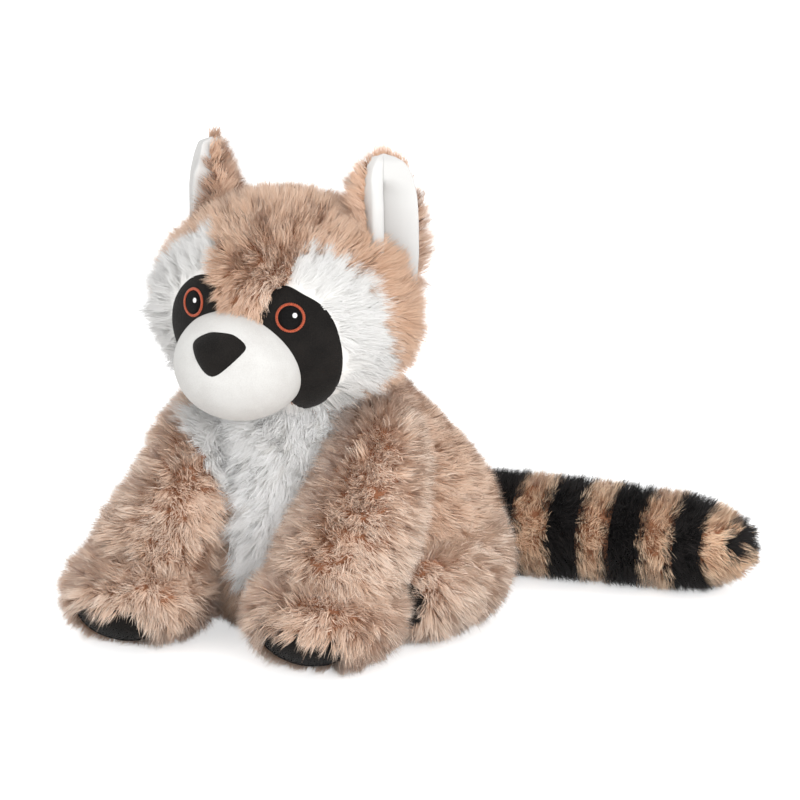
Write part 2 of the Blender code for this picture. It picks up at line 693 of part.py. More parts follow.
def build_forms():
    """Every piece's mesh, by its name."""
    pieces = {}
    head_pile = head_form(HEAD_PILE, pile=True)
    around_head = head_form(HEAD_PILE + PILE_GAP, pile=True)
    over_skin = head_form(PILE_GAP)
    around_muzzle = muzzle_form(PILE_GAP)

    head = without(head_pile, around_muzzle)
    nose_space = without(nose_prism(PILE_GAP), muzzle_form(-NOSE_CLOTH - PILE_GAP))
    muzzle = without(muzzle_form(), over_skin, nose_space)
    nose = combine(without(muzzle_form(NOSE_CLOTH), muzzle_form(-NOSE_CLOTH)), nose_prism(), "INTERSECT")
    pile_layer = without(head, over_skin)
    patch_layer = without(head_form(PATCH_CLOTH + PILE_GAP), over_skin, around_muzzle)
    for name, side in SIDES.items():
        cheek_space = head_wedge(CHEEK_OUTLINE, side, PILE_GAP)
        patch_space = head_wedge(PATCH_OUTLINE, side, PILE_GAP)
        head = without(head, cheek_space, patch_space)
        cheek_layer = without(pile_layer, patch_space)
        pieces["cheek_" + name] = combine(cheek_layer, head_wedge(CHEEK_OUTLINE, side), "INTERSECT")
        pieces["eye_patch_" + name] = combine(patch_layer, head_wedge(PATCH_OUTLINE, side), "INTERSECT")

        middle = direction(*EYE_DIRECTION, side)
        cloth = PATCH_CLOTH + 2 * PILE_GAP
        thread = cloth + EYE_THREAD
        pieces["eye_ring_" + name] = thread_ring(middle, EYE_RING_RADIUS, EYE_THREAD, thread)
        top = cloth + PUPIL_CLOTH
        pieces["pupil_" + name] = button(middle, 0, 0, PUPIL_RADIUS, cloth, top)
        pieces["eye_highlight_" + name] = button(middle, *HIGHLIGHT_OFFSET, HIGHLIGHT_RADIUS,
                                                 top + PILE_GAP, top + PILE_GAP + HIGHLIGHT_CLOTH)
        lining_space = ear_lining(side, PILE_GAP, opened=4 * EAR_HALF_THICKNESS)
        pieces["ear_" + name] = without(ear_leaf(side), around_head, lining_space)
        pieces["ear_lining_" + name] = without(ear_lining(side), around_head)
    pieces["head"] = combine(head, head_form(), "UNION")
    pieces["muzzle"] = muzzle
    pieces["nose"] = nose

    body_pile = body_form(pile=True)
    body_skin = body_form(-BODY_PILE)
    around_body = body_form(PILE_GAP, pile=True)
    body = combine(without(body_pile, chest_prism(PILE_GAP)), body_skin, "UNION")
    pieces["body"] = without(body, around_head, around_muzzle)
    chest = combine(without(body_pile, body_form(PILE_GAP - BODY_PILE)), chest_prism(), "INTERSECT")
    pieces["chest_panel"] = without(chest, around_head, around_muzzle)
    for name, side in SIDES.items():
        arm = without(arm_form(name), around_body, around_head, around_muzzle)
        pieces["arm_" + name] = without(arm, pad_tool(name, PILE_GAP))
        pad = combine(paw_form(name, -PAW_PILE), pad_tool(name), "INTERSECT")
        pieces["arm_pad_" + name] = pad
        leg = without(leg_form(side, pile=True), around_body, arm_form(name, PILE_GAP))
        pieces["leg_" + name] = without(leg, leg_pad_tool(side, PILE_GAP))
        pad = combine(leg_form(side, -PAW_PILE), leg_pad_tool(side), "INTERSECT")
        pieces["leg_pad_" + name] = without(pad, around_body, arm_form(name, PILE_GAP))
    for number in range(1, len(TAIL_BAND_ENDS)):
        band = tail_band(number)
        pieces[f"tail_band_{number}"] = without(band, around_body) if number == 1 else band
    return pieces


def colour_of(name):
    """Which fabric or thread a piece is made of."""
    if name.startswith(("cheek", "muzzle", "chest", "ear_lining", "eye_highlight")):
        return "white"
    if name.startswith(("eye_patch", "pupil", "nose", "arm_pad", "leg_pad")):
        return "black"
    if name.startswith("eye_ring"):
        return "rust"
    if name.startswith("tail_band") and int(name.rsplit("_", 1)[1]) % 2 == 1:
        return "black"
    return "brown"


def flow_of(name):
    """How the pile of a long-pile piece lies. Short-pile pieces and thread have none."""
    flows = {"head": flow_from_face, "cheek": flow_from_face, "ear": flow_from_face, "body": flow_down,
             "chest_panel": flow_down, "arm": flow_to_paw, "leg": flow_down, "tail_band": flow_to_tip}
    if "pad" in name or "lining" in name:
        return None
    for start, flow in flows.items():
        if name.startswith(start):
            return flow
    return None


def add_object(name, mesh):
    """The mesh as a named object with its own material."""
    mesh.name = name
    colour = colour_of(name)
    material = bpy.data.materials.new(name)
    material.use_nodes = True
    shader = material.node_tree.nodes["Principled BSDF"]
    shader.inputs["Base Color"].default_value = (*COLOURS[colour], 1.0)
    threads = name.startswith(("eye_ring", "pupil", "eye_highlight"))
    shader.inputs["Roughness"].default_value = THREAD_ROUGHNESS if threads else PILE_ROUGHNESS
    shader.inputs["Metallic"].default_value = 0.0
    mesh.materials.clear()
    mesh.materials.append(material)
    item = bpy.data.objects.new(name, mesh)
    bpy.context.scene.collection.objects.link(item)
    mesh.shade_smooth()
    mesh.set_sharp_from_angle(angle=math.radians(35))


def main():
    for item in list(bpy.data.objects):
        bpy.data.objects.remove(item)
    pieces = build_forms()
    plain = {name: mesh.copy() for name, mesh in pieces.items()}
    for name, mesh in pieces.items():
        flow = flow_of(name)
        if flow:
            raise_locks(mesh, tree_of([other for key, other in plain.items() if key != name]), flow)
        add_object(name, mesh)


main()
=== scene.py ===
"""The look of a seated plush raccoon: long pile, short pile, embroidery and padding.

The forms repeat the model's own sizes, in metres. The outlines of the cheeks and eye patches, and the
ears' cloth, are drawn here side by side, because the toy's two sides aren't quite alike. The long pile
is made of narrow ribbons in locks, rooted on a smooth backing under the model's surface.
"""
import itertools
import math

import bpy
import numpy as np
from mathutils import Matrix, Vector, noise


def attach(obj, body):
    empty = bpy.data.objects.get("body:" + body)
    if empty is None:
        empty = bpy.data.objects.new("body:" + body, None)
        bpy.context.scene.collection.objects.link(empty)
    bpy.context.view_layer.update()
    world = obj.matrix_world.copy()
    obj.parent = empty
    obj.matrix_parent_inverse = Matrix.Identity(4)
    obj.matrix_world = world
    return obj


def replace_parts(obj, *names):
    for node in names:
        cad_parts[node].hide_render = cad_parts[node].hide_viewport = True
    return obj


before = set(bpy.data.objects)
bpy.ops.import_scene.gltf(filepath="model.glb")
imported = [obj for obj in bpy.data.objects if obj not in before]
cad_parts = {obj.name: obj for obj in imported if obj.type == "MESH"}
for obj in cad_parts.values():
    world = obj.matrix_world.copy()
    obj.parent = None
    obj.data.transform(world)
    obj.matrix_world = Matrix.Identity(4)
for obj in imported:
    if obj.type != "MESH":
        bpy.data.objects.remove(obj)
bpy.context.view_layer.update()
SEED = 11
rng = np.random.default_rng(SEED)
noise.seed_set(SEED)    # its vectors would otherwise follow the clock

# Sizes repeated from the model
HEAD_CENTRE = np.array((0.0, -0.041, 0.170))
HEAD_SKIN = np.array((0.0600, 0.0495, 0.0515))
HEAD_TURN = math.radians(2.0)
HEAD_TILT = math.radians(2.5)
MUZZLE_CENTRE = np.array((-0.0025, -0.0400, -0.0228))
MUZZLE_RADII = np.array((0.0325, 0.0335, 0.0282))
NOSE_HEIGHT = 0.0098
NOSE_HALF_WIDTH = 0.0143
NOSE_ABOVE = 0.0095
NOSE_BELOW = 0.0115
# The cheeks and patches as they were sewn: degrees aside and up from the middle of the head's front
CHEEK_SEWN = {
    "left": ((24, 13), (31, 27), (38, 37), (47, 36), (60, 27), (69, 11), (76, -7),
             (80, -24), (78, -42), (68, -56), (54, -58), (42, -48), (30, -20), (26, 0)),
    "right": ((18, 18), (21, 29), (27, 38), (36, 43), (47, 40), (59, 28), (68, 11), (75, -7),
              (79, -24), (77, -42), (68, -56), (54, -58), (42, -48), (30, -20), (22, 0)),
}
PATCH_SEWN = {
    "left": ((25.5, 20.5), (15.5, 10), (12, -6), (20, -30), (34, -51), (50, -61), (61, -55),
             (62.5, -40), (60, -22), (54, -2), (47.5, 9), (38, 15.5)),
    "right": ((19, 22), (14, 11), (13, -6), (20, -30), (33, -49), (46, -56), (55, -48),
              (55, -22), (52, -4), (46, 8), (37, 17), (28, 21)),
}
PATCH_CLOTH = 0.0018
# The eyes, in degrees aside and up from the middle of the head's front
EYE_DIRECTIONS = {"left": (30.2, 4.0), "right": (28.5, 5.7)}
EYE_RING_RADIUS = 0.0066
PUPIL_RADIUS = 0.0054
HIGHLIGHT_OFFSET = (0.0022, 0.0013)
EAR_ROOT = np.array((0.0488, 0.0100, 0.0175))
EAR_LENGTH = 0.0638
EAR_FACING = math.radians(50)
EAR_SPLAY = math.radians(2)
EAR_HALF_THICKNESS = 0.0150
EAR_THINNING = 0.66
EAR_FRONT = 0.0098
LINING_LENGTH = 0.0603
LINING_SLOPE = 0.40
BODY_RINGS = ((0.000, 0.061, 0.054, 0.022), (0.011, 0.075, 0.072, 0.017),
              (0.034, 0.083, 0.084, 0.013), (0.060, 0.082, 0.083, 0.010),
              (0.084, 0.075, 0.075, 0.004), (0.104, 0.064, 0.062, -0.004),
              (0.122, 0.051, 0.049, -0.013), (0.138, 0.038, 0.036, -0.024))
BODY_TOP = 0.146
CHEST_OUTLINE = ((0.031, 0.128), (0.034, 0.108), (0.028, 0.088), (0.022, 0.066),
                 (0.018, 0.046), (0.013, 0.026))
ARM_LINES = {
    "left": ((0.039, -0.022, 0.118), (0.053, -0.044, 0.099),
             (0.053, -0.060, 0.073), (0.046, -0.073, 0.046)),
    "right": ((-0.037, -0.022, 0.120), (-0.045, -0.044, 0.099),
              (-0.046, -0.060, 0.073), (-0.057, -0.073, 0.046)),
}
ARM_HALF_THICKNESS = (0.0190, 0.0255, 0.0305, 0.0330)
PAW_CENTRES = {"left": np.array((0.042, -0.077, 0.0268)), "right": np.array((-0.063, -0.079, 0.0262))}
PAW_RADII = np.array((0.0385, 0.0425, 0.0285))
PAD_OFFSET = np.array((0.0, -0.029, -0.024))
LEG_LINE = ((0.052, 0.044, 0.036), (0.063, 0.016, 0.0335), (0.064, -0.021, 0.0285))
LEG_HALF_WIDTH = (0.026, 0.0305, 0.0262)
LEG_HALF_HEIGHT = (0.030, 0.0325, 0.0275)
LEG_PAD_OFFSET = np.array((-0.006, -0.0235, -0.006))
TAIL_LINE = ((-0.006, 0.070, 0.034), (0.012, 0.106, 0.031), (0.040, 0.123, 0.029),
             (0.094, 0.134, 0.0275), (0.145, 0.140, 0.0258), (0.169, 0.143, 0.0258))
TAIL_HALF_THICKNESS = (0.0270, 0.0283, 0.0287, 0.0276, 0.0258, 0.0175)
TAIL_BAND_ENDS = (0.0, 0.439, 0.515, 0.571, 0.641, 0.702, 0.778, 0.866, 0.970, 1.0)
SIDES = {"left": 1, "right": -1}

# The pile: depth of the backing under the model's surface
HEAD_BACKING = 0.0010
BODY_PILE = 0.0055
TAIL_PILE = 0.0050
EAR_PILE = 0.0030

# The ear's cloth as it was sewn: half widths and depths from foot (0) to tip (1), and its lean inward
EAR_OUTLINE = ((0.0, 0.0180), (0.25, 0.0195), (0.50, 0.0190), (0.70, 0.0175), (0.85, 0.0145),
               (0.95, 0.0100), (1.0, 0.0050))
LINING_OUTLINE = ((0.0, 0.0120), (0.25, 0.0132), (0.50, 0.0132), (0.70, 0.0128), (0.82, 0.0118),
                  (0.89, 0.0103), (0.94, 0.0083), (0.975, 0.0058), (1.0, 0.0006))
LINING_DEPTHS = ((0.0, 0.0060), (0.40, 0.0070), (0.60, 0.0074), (0.83, 0.0062), (0.96, 0.0042),
                 (1.0, 0.0030))
EAR_MIDDLE = (-0.0020, 0.0048)
EAR_TABLE_STEPS = 201
EAR_SMOOTHING_STEPS = 16
LINING_OUTER_SHARE = 1.06   # the lining's outer half over its half width
PAD_DEPTH = 0.0045          # how far a pad's cloth lies under the long pile's surface
UP = np.array((0.0, 0.0, 1.0))
FLOOR_GAP = 0.0004


# Small numeric helpers

def unit(v):
    return v / np.maximum(np.linalg.norm(v, axis=-1, keepdims=True), 1e-9)


def dot(a, b):
    return np.sum(a * b, axis=-1, keepdims=True)


def flat_to(v, n):
    """The part of v that lies along the surface with normal n."""
    return v - n * dot(v, n)


def smooth_step(a, b, x):
    t = np.clip((x - a) / (b - a), 0, 1)
    return t * t * (3 - 2 * t)


def between(p0, p1, p2, p3, f):
    """The place at a share f of the way from p1 to p2, on a smooth curve through four places."""
    return 0.5 * (2 * p1 + (p2 - p0) * f + (2 * p0 - 5 * p1 + 4 * p2 - p3) * f ** 2
                  + (3 * p1 - p0 - 3 * p2 + p3) * f ** 3)


def spline(values, t):
    """Values at places t (0 to 1) on a smooth curve through evenly spaced values."""
    values = np.asarray(values, float)
    last = len(values) - 1
    place = np.clip(np.atleast_1d(t), 0, 1) * last
    i = np.minimum(place.astype(int), last - 1)
    f = place - i
    padded = np.concatenate([[2 * values[0] - values[1]], values, [2 * values[-1] - values[-2]]])
    if values.ndim > 1:
        f = f[:, None]
    return between(*(padded[i + k] for k in range(4)), f)


def rotation(turn, tilt):
    spin = Matrix.Rotation(turn, 3, "Z") @ Matrix.Rotation(tilt, 3, "Y")
    return np.array(spin)


HEAD_SPIN = rotation(HEAD_TURN, HEAD_TILT)


def to_head(p):
    """A point in the head's own frame."""
    return (p - HEAD_CENTRE) @ HEAD_SPIN


def from_head(q):
    return HEAD_CENTRE + q @ HEAD_SPIN.T


def way_of(aside, up, side=1):
    """Directions in the head's frame from degrees aside and up."""
    aside, up = np.radians(aside), np.radians(up)
    return np.stack([side * np.sin(aside) * np.cos(up), -np.cos(aside) * np.cos(up), np.sin(up)], -1)


def angles_of(way):
    """Degrees aside and up of directions in the head's frame."""
    return (np.degrees(np.arctan2(way[..., 0], -way[..., 1])), np.degrees(np.arcsin(way[..., 2])))


def head_angles(p):
    """Degrees aside and up of points, as seen from the middle of the head."""
    return angles_of(unit(to_head(p)))


def reach_of(way, radii):
    """Distance from the centre of an ellipsoid to its surface in a direction."""
    return 1.0 / np.sqrt(np.sum((way / radii) ** 2, axis=-1, keepdims=True))


def on_skin(way, height):
    """Points over the head's skin, at a height, in directions of the head's frame."""
    return from_head(way * reach_of(way, HEAD_SKIN + height))


def closed_curve(points, steps):
    """A smooth closed curve through points, with some steps from each to the next."""
    points = np.asarray(points, float)
    out = []
    for i in range(len(points)):
        corners = [points[(i + k) % len(points)] for k in (-1, 0, 1, 2)]
        out += [between(*corners, s / steps) for s in range(steps)]
    return np.array(out)


def within(points, polygon):
    """Which points in a plane lie inside a polygon."""
    inside = np.zeros(len(points), bool)
    x, y = points[:, 0], points[:, 1]
    for (x1, y1), (x2, y2) in zip(polygon, np.roll(polygon, -1, axis=0)):
        crosses = (y1 > y) != (y2 > y)
        slope = np.where(y2 == y1, 1e-9, y2 - y1)
        inside ^= crosses & (x < (x2 - x1) * (y - y1) / slope + x1)
    return inside


def grown(curve, by):
    """A closed curve moved outward by some amount."""
    along = unit(np.roll(curve, -1, axis=0) - np.roll(curve, 1, axis=0))
    out = np.stack([along[:, 1], -along[:, 0]], -1)
    turned = np.sum(curve[:, 0] * np.roll(curve[:, 1], -1) - curve[:, 1] * np.roll(curve[:, 0], -1)) > 0
    return curve + out * (by if turned else -by)


CHEEK_CURVES = {SIDES[name]: closed_curve(outline, 5) for name, outline in CHEEK_SEWN.items()}
PATCH_CURVES = {SIDES[name]: closed_curve(outline, 5) for name, outline in PATCH_SEWN.items()}
PATCH_EDGES = {side: grown(curve, 0.5) for side, curve in PATCH_CURVES.items()}
CHEEK_EDGES = {side: grown(curve, 1.8) for side, curve in CHEEK_CURVES.items()}


def in_outline(p, curves, side):
    aside, up = head_angles(p)
    return within(np.stack([aside * side, up], -1), curves[side])


# Forms: closed smooth meshes as arrays

class Form:
    def __init__(self, points, tris):
        self.points = np.asarray(points, float)
        self.tris = np.asarray(tris, int)
        a, b, c = (self.points[self.tris[:, k]] for k in range(3))
        cross = np.cross(b - a, c - a)
        self.areas = np.linalg.norm(cross, axis=1) / 2
        normals = np.zeros_like(self.points)
        for k in range(3):
            np.add.at(normals, self.tris[:, k], cross)
        self.normals = unit(normals)


def tube_form(rings, start, end):
    """A form over rings of points (rows, sides, 3), closed with a point at each end."""
    rings = np.asarray(rings, float)
    rows, sides = rings.shape[:2]
    points = np.concatenate([rings.reshape(-1, 3), [start, end]])
    tris = []
    for r in range(rows - 1):
        for s in range(sides):
            a, b = r * sides + s, r * sides + (s + 1) % sides
            c, d = a + sides, b + sides
            tris += [(a, b, d), (a, d, c)]
    low, high = rows * sides, rows * sides + 1
    for s in range(sides):
        n = (s + 1) % sides
        tris.append((n, s, low))
        tris.append(((rows - 1) * sides + s, (rows - 1) * sides + n, high))
    form = Form(points, tris)
    centre = points.mean(0)
    if np.sum(form.normals * (points - centre)) < 0:
        form = Form(points, np.asarray(tris)[:, ::-1])
    return form


def circle(centre, across, along, sides):
    angle = np.linspace(0, 2 * math.pi, sides, endpoint=False)[:, None]
    return centre + across * np.cos(angle) + along * np.sin(angle)


def ellipsoid(centre, radii, spin=np.eye(3), sides=64, rows=40):
    rings = []
    for k in range(1, rows):
        polar = math.pi * k / rows
        middle = centre - spin @ np.array((0, 0, radii[2] * math.cos(polar)))
        rings.append(circle(middle, spin @ np.array((radii[0] * math.sin(polar), 0, 0)),
                            spin @ np.array((0, radii[1] * math.sin(polar), 0)), sides))
    lift = spin @ np.array((0, 0, radii[2]))
    return tube_form(rings, centre - lift, centre + lift)


def bar_frames(line, places):
    here = spline(line, places)
    ahead = unit(spline(line, np.minimum(places + 0.01, 1)) - spline(line, np.maximum(places - 0.01, 0)))
    level = unit(np.cross(ahead, UP))
    return here, ahead, level, np.cross(level, ahead)


def bar_form(line, widths, heights, grow=0.0, sides=48, rows=30, dome=1.0, part=(0.0, 1.0)):
    """A bar along a smooth line with domed ends, as far as the part of the line that is asked for."""
    places = np.linspace(part[0], part[1], rows)
    here, ahead, level, high = bar_frames(line, places)
    wide, tall = spline(widths, places) + grow, spline(heights, places) + grow
    rings = [circle(h, l * w, u * t, sides) for h, l, u, w, t in zip(here, level, high, wide, tall)]
    for end, sign in ((0, -1), (-1, 1)):
        reach = min(wide[end], tall[end]) * dome
        caps = []
        for angle in np.radians((15, 32, 48, 64, 78)):
            out = ahead[end] * sign * reach * math.sin(angle)
            caps.append(circle(here[end] + out, level[end] * wide[end] * math.cos(angle),
                               high[end] * tall[end] * math.cos(angle), sides))
        rings = caps[::-1] + rings if sign < 0 else rings + caps
        if sign < 0:
            start = here[end] - ahead[end] * reach
        else:
            end_point = here[end] + ahead[end] * reach
    return tube_form(rings, start, end_point)


def body_ring(z):
    table = np.array(BODY_RINGS)
    return [np.interp(z, table[:, 0], table[:, k]) for k in (1, 2, 3)]


def body_form(grow=0.0, sides=72, rows=44):
    rings = []
    for z in np.linspace(0.0012, BODY_RINGS[-1][0], rows):
        wide, deep, back = body_ring(z)
        rings.append(circle(np.array((0, back, z)), np.array((wide + grow, 0, 0)),
                            np.array((0, deep + grow, 0)), sides))
    back = BODY_RINGS[-1][3]
    return tube_form(rings, (0, BODY_RINGS[0][3], 0.0012), (0, back, BODY_TOP + grow * 0.5))


def ear_frame(side):
    facing = np.array((side * math.sin(EAR_FACING), -math.cos(EAR_FACING), 0))
    up = np.array((side * math.sin(EAR_SPLAY), 0, math.cos(EAR_SPLAY)))
    wide = unit(np.cross(facing, up))
    facing = np.cross(up, wide)
    turn = HEAD_SPIN @ np.stack([wide, facing, up], 1)
    root = from_head(EAR_ROOT * np.array((side, 1, 1)))
    return turn, root


EAR_PLACES = np.linspace(0, 1, EAR_TABLE_STEPS)


def softened(table):
    """A table of places and sizes as evenly spaced sizes on a curve without corners."""
    table = np.array(table)
    sizes = np.interp(EAR_PLACES, table[:, 0], table[:, 1])
    for step in range(EAR_SMOOTHING_STEPS):
        sizes[1:-1] = (sizes[:-2] + 2 * sizes[1:-1] + sizes[2:]) / 4
    return sizes


def along_ear(t, sizes):
    """A size that changes from the ear's foot to its tip."""
    return np.interp(t, EAR_PLACES, sizes)


EAR_HALF_WIDTHS = softened(EAR_OUTLINE)
LINING_HALF_WIDTHS = softened(LINING_OUTLINE)
LINING_DEPTH = softened(LINING_DEPTHS)


def ear_middle(t, side):
    """How far the ear's middle line lies across its root, because the ear leans inward."""
    return side * (EAR_MIDDLE[0] + (EAR_MIDDLE[1] - EAR_MIDDLE[0]) * t)


def ear_depth(t):
    """The middle of the ear's leaf, along the way that it faces, and its half thickness."""
    thick = EAR_HALF_THICKNESS * (1 - EAR_THINNING * t)
    return EAR_FRONT * (1 - LINING_SLOPE * t) - thick, thick


def ear_form(side, grow=0.0, sides=40, rows=34):
    turn, root = ear_frame(side)
    rings = []
    for t in np.linspace(0, 1, rows):
        wide = max(along_ear(t, EAR_HALF_WIDTHS) + grow, 0.001)
        middle, thick = ear_depth(t)
        place = np.array((ear_middle(t, side), middle, t * (EAR_LENGTH + grow)))
        ring = circle(place, np.array((wide, 0, 0)), np.array((0, max(thick + grow, 0.001), 0)), sides)
        rings.append(root + ring @ turn.T)
    tip = root + turn @ place
    return tube_form(rings, root + turn @ np.array((0, ear_depth(0)[0], 0)), tip)


# Which points lie inside a form

def inside_ellipsoid(p, centre, radii, grow=0.0, spin=np.eye(3)):
    q = (p - centre) @ spin
    return np.sum((q / (radii + grow)) ** 2, axis=-1) < 1


def inside_head(p, grow=0.0):
    return inside_ellipsoid(p, HEAD_CENTRE, HEAD_SKIN, grow, HEAD_SPIN)


def inside_muzzle(p, grow=0.0):
    return inside_ellipsoid(p, from_head(MUZZLE_CENTRE), MUZZLE_RADII, grow, HEAD_SPIN)


def inside_body(p, grow=0.0):
    wide, deep, back = body_ring(p[:, 2])
    share = (p[:, 0] / (wide + grow)) ** 2 + ((p[:, 1] - back) / (deep + grow)) ** 2
    return (share < 1) & (p[:, 2] < BODY_TOP + grow)


def inside_bar(p, line, widths, grow=0.0):
    places = np.linspace(0, 1, 40)
    middles, radii = spline(line, places), spline(widths, places) + grow
    inside = np.zeros(len(p), bool)
    for middle, radius in zip(middles, radii):
        inside |= np.sum((p - middle) ** 2, axis=-1) < radius ** 2
    return inside


def inside_arm(p, name, grow=0.0):
    return (inside_bar(p, ARM_LINES[name], ARM_HALF_THICKNESS, grow)
            | inside_ellipsoid(p, PAW_CENTRES[name], PAW_RADII, grow))


def leg_line(side):
    return np.array(LEG_LINE) * np.array((side, 1, 1))


def inside_leg(p, side, grow=0.0):
    return inside_bar(p, leg_line(side), LEG_HALF_HEIGHT, grow)


def inside_tail(p, grow=0.0):
    return inside_bar(p, TAIL_LINE, TAIL_HALF_THICKNESS, grow)


def inside_ear(p, side, grow=0.0):
    turn, root = ear_frame(side)
    q = (p - root) @ turn
    t = q[:, 2] / EAR_LENGTH
    wide = along_ear(np.clip(t, 0, 1), EAR_HALF_WIDTHS) + grow
    middle, thick = ear_depth(np.clip(t, 0, 1))
    across = q[:, 0] - ear_middle(np.clip(t, 0, 1), side)
    share = (across / wide) ** 2 + ((q[:, 1] - middle) / (thick + grow)) ** 2
    return share + ((t < -0.1) | (t > 1)) * 9 < 1


# Meshes and materials

def ring_faces(rings, count, start=0):
    """Four-cornered faces between rings of points that lie one after the other from start."""
    faces = []
    for r in range(rings - 1):
        a = start + r * count
        for i in range(count):
            j = (i + 1) % count
            faces.append((a + i, a + count + i, a + count + j, a + j))
    return faces


def sheet_faces(rows, columns):
    """Four-cornered faces of a sheet of points, row by row."""
    starts = [r * (columns + 1) + c for r in range(rows) for c in range(columns)]
    return [(a, a + 1, a + columns + 2, a + columns + 1) for a in starts]


def placed(name, data):
    """A new object in the scene."""
    item = bpy.data.objects.new(name, data)
    bpy.context.scene.collection.objects.link(item)
    return item


def new_object(name, points, faces, material):
    mesh = bpy.data.meshes.new(name)
    mesh.from_pydata([tuple(p) for p in np.asarray(points)], [], [tuple(map(int, f)) for f in faces])
    mesh.update()
    mesh.shade_smooth()
    item = placed(name, mesh)
    mesh.materials.append(material)
    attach(item, "root")
    return item


def over_floor(points):
    """Points with none of them under the floor."""
    raised = points.copy()
    raised[:, 2] = np.maximum(raised[:, 2], FLOOR_GAP)
    return raised


def form_object(name, form, material):
    return new_object(name, form.points, form.tris, material)


class Nodes:
    """A material's node tree, with short calls to add nodes and join them."""

    def __init__(self, name):
        self.material = bpy.data.materials.new(name)
        self.material.use_nodes = True
        self.tree = self.material.node_tree
        self.shader = self.tree.nodes["Principled BSDF"]

    def add(self, kind, inputs=None, **settings):
        node = self.tree.nodes.new(kind)
        for key, value in settings.items():
            setattr(node, key, value)
        for key, value in (inputs or {}).items():
            if isinstance(value, bpy.types.NodeSocket):
                self.tree.links.new(value, node.inputs[key])
            else:
                node.inputs[key].default_value = value
        return node

    def join(self, output, key):
        self.tree.links.new(output, self.shader.inputs[key])

    def fix(self, **values):
        for key, value in values.items():
            self.shader.inputs[key.replace("_", " ")].default_value = value

    def ramp(self, factor, stops):
        node = self.add("ShaderNodeValToRGB", {"Fac": factor})
        elements = node.color_ramp.elements
        while len(elements) < len(stops):
            elements.new(0.5)
        for element, (place, colour) in zip(elements, stops):
            element.position = place
            element.color = (*colour, 1.0)
        return node.outputs["Color"]


def srgb(r, g, b):
    """A colour written as it looks, from 0 to 255, as linear values."""
    values = np.array((r, g, b)) / 255
    return tuple(float(v) for v in np.where(values <= 0.04045, values / 12.92,
                                            ((values + 0.055) / 1.055) ** 2.4))


def mapped_material(name, across, along):
    """A material with colours across its map, each multiplied by a shade along it."""
    n = Nodes(name)
    uv = n.add("ShaderNodeUVMap", uv_map="OFBake").outputs["UV"]
    parts = n.add("ShaderNodeSeparateXYZ", {"Vector": uv})
    mixed = n.add("ShaderNodeMix", data_type="RGBA", blend_type="MULTIPLY")
    mixed.inputs["Factor"].default_value = 1.0
    n.tree.links.new(n.ramp(parts.outputs["X"], across), mixed.inputs["A"])
    n.tree.links.new(n.ramp(parts.outputs["Y"], along), mixed.inputs["B"])
    n.join(mixed.outputs["Result"], "Base Color")
    return n


def pile_material(name, tints, root_shade, sheen=0.25, roughness=0.8):
    """Long pile: the map's first value picks a fibre's tint, the second runs from root to tip through
    painted root shade.
    """
    stops = [(i / (len(tints) - 1), srgb(*colour)) for i, colour in enumerate(tints)]
    n = mapped_material(name, stops, [(0.0, root_shade[0]), (0.5, root_shade[1]), (0.95, (1.0, 1.0, 1.0))])
    n.fix(Roughness=roughness, Specular_IOR_Level=0.25, Sheen_Weight=sheen, Sheen_Roughness=0.45)
    return n.material


def short_pile_material(name, colour, shade, grain=0.0006, bump=0.25, sheen=0.4, roughness=0.9):
    """Short pile: a fine nap with soft mottling where it has been brushed."""
    n = Nodes(name)
    place = n.add("ShaderNodeTexCoord").outputs["Object"]
    fine = n.add("ShaderNodeTexNoise", {"Vector": place, "Scale": 1.0 / grain, "Detail": 3.0})
    broad = n.add("ShaderNodeTexNoise", {"Vector": place, "Scale": 90.0, "Detail": 3.0})
    mix = n.add("ShaderNodeMath", {0: fine.outputs["Fac"], 1: broad.outputs["Fac"]}, operation="ADD")
    half = n.add("ShaderNodeMath", {0: mix.outputs[0], 1: 0.5}, operation="MULTIPLY")
    colours = n.ramp(half.outputs[0], [(0.36, srgb(*shade)), (0.58, srgb(*colour))])
    n.join(colours, "Base Color")
    nap = n.add("ShaderNodeBump", {"Height": fine.outputs["Fac"], "Strength": bump, "Distance": 0.0006})
    n.join(nap.outputs["Normal"], "Normal")
    n.fix(Roughness=roughness, Specular_IOR_Level=0.2, Sheen_Weight=sheen, Sheen_Roughness=0.4)
    return n.material


def lining_material(name):
    """The ears' short pile. The map runs across the lining from its outer edge and up from its foot."""
    stops = [(place, srgb(*colour)) for place, colour in LINING_TONES_AND_CREASE_SHADE]
    # Painted shade: the lining is darker toward its foot, and by the crease through the tones across it
    n = mapped_material(name, stops, [(0.0, (0.80, 0.80, 0.80)), (0.6, (1.0, 1.0, 1.0))])
    n.fix(Roughness=0.9, Specular_IOR_Level=0.2, Sheen_Weight=0.05)
    return n.material


def thread_material(name, colour, shade, roughness=0.45, sheen=0.2, specular=0.35):
    n = Nodes(name)
    place = n.add("ShaderNodeTexCoord").outputs["Object"]
    fine = n.add("ShaderNodeTexNoise", {"Vector": place, "Scale": 2500.0, "Detail": 2.0})
    n.join(n.ramp(fine.outputs["Fac"], [(0.35, srgb(*shade)), (0.62, srgb(*colour))]), "Base Color")
    nap = n.add("ShaderNodeBump", {"Height": fine.outputs["Fac"], "Strength": 0.2, "Distance": 0.0003})
    n.join(nap.outputs["Normal"], "Normal")
    n.fix(Roughness=roughness, Specular_IOR_Level=specular, Sheen_Weight=sheen)
    return n.material


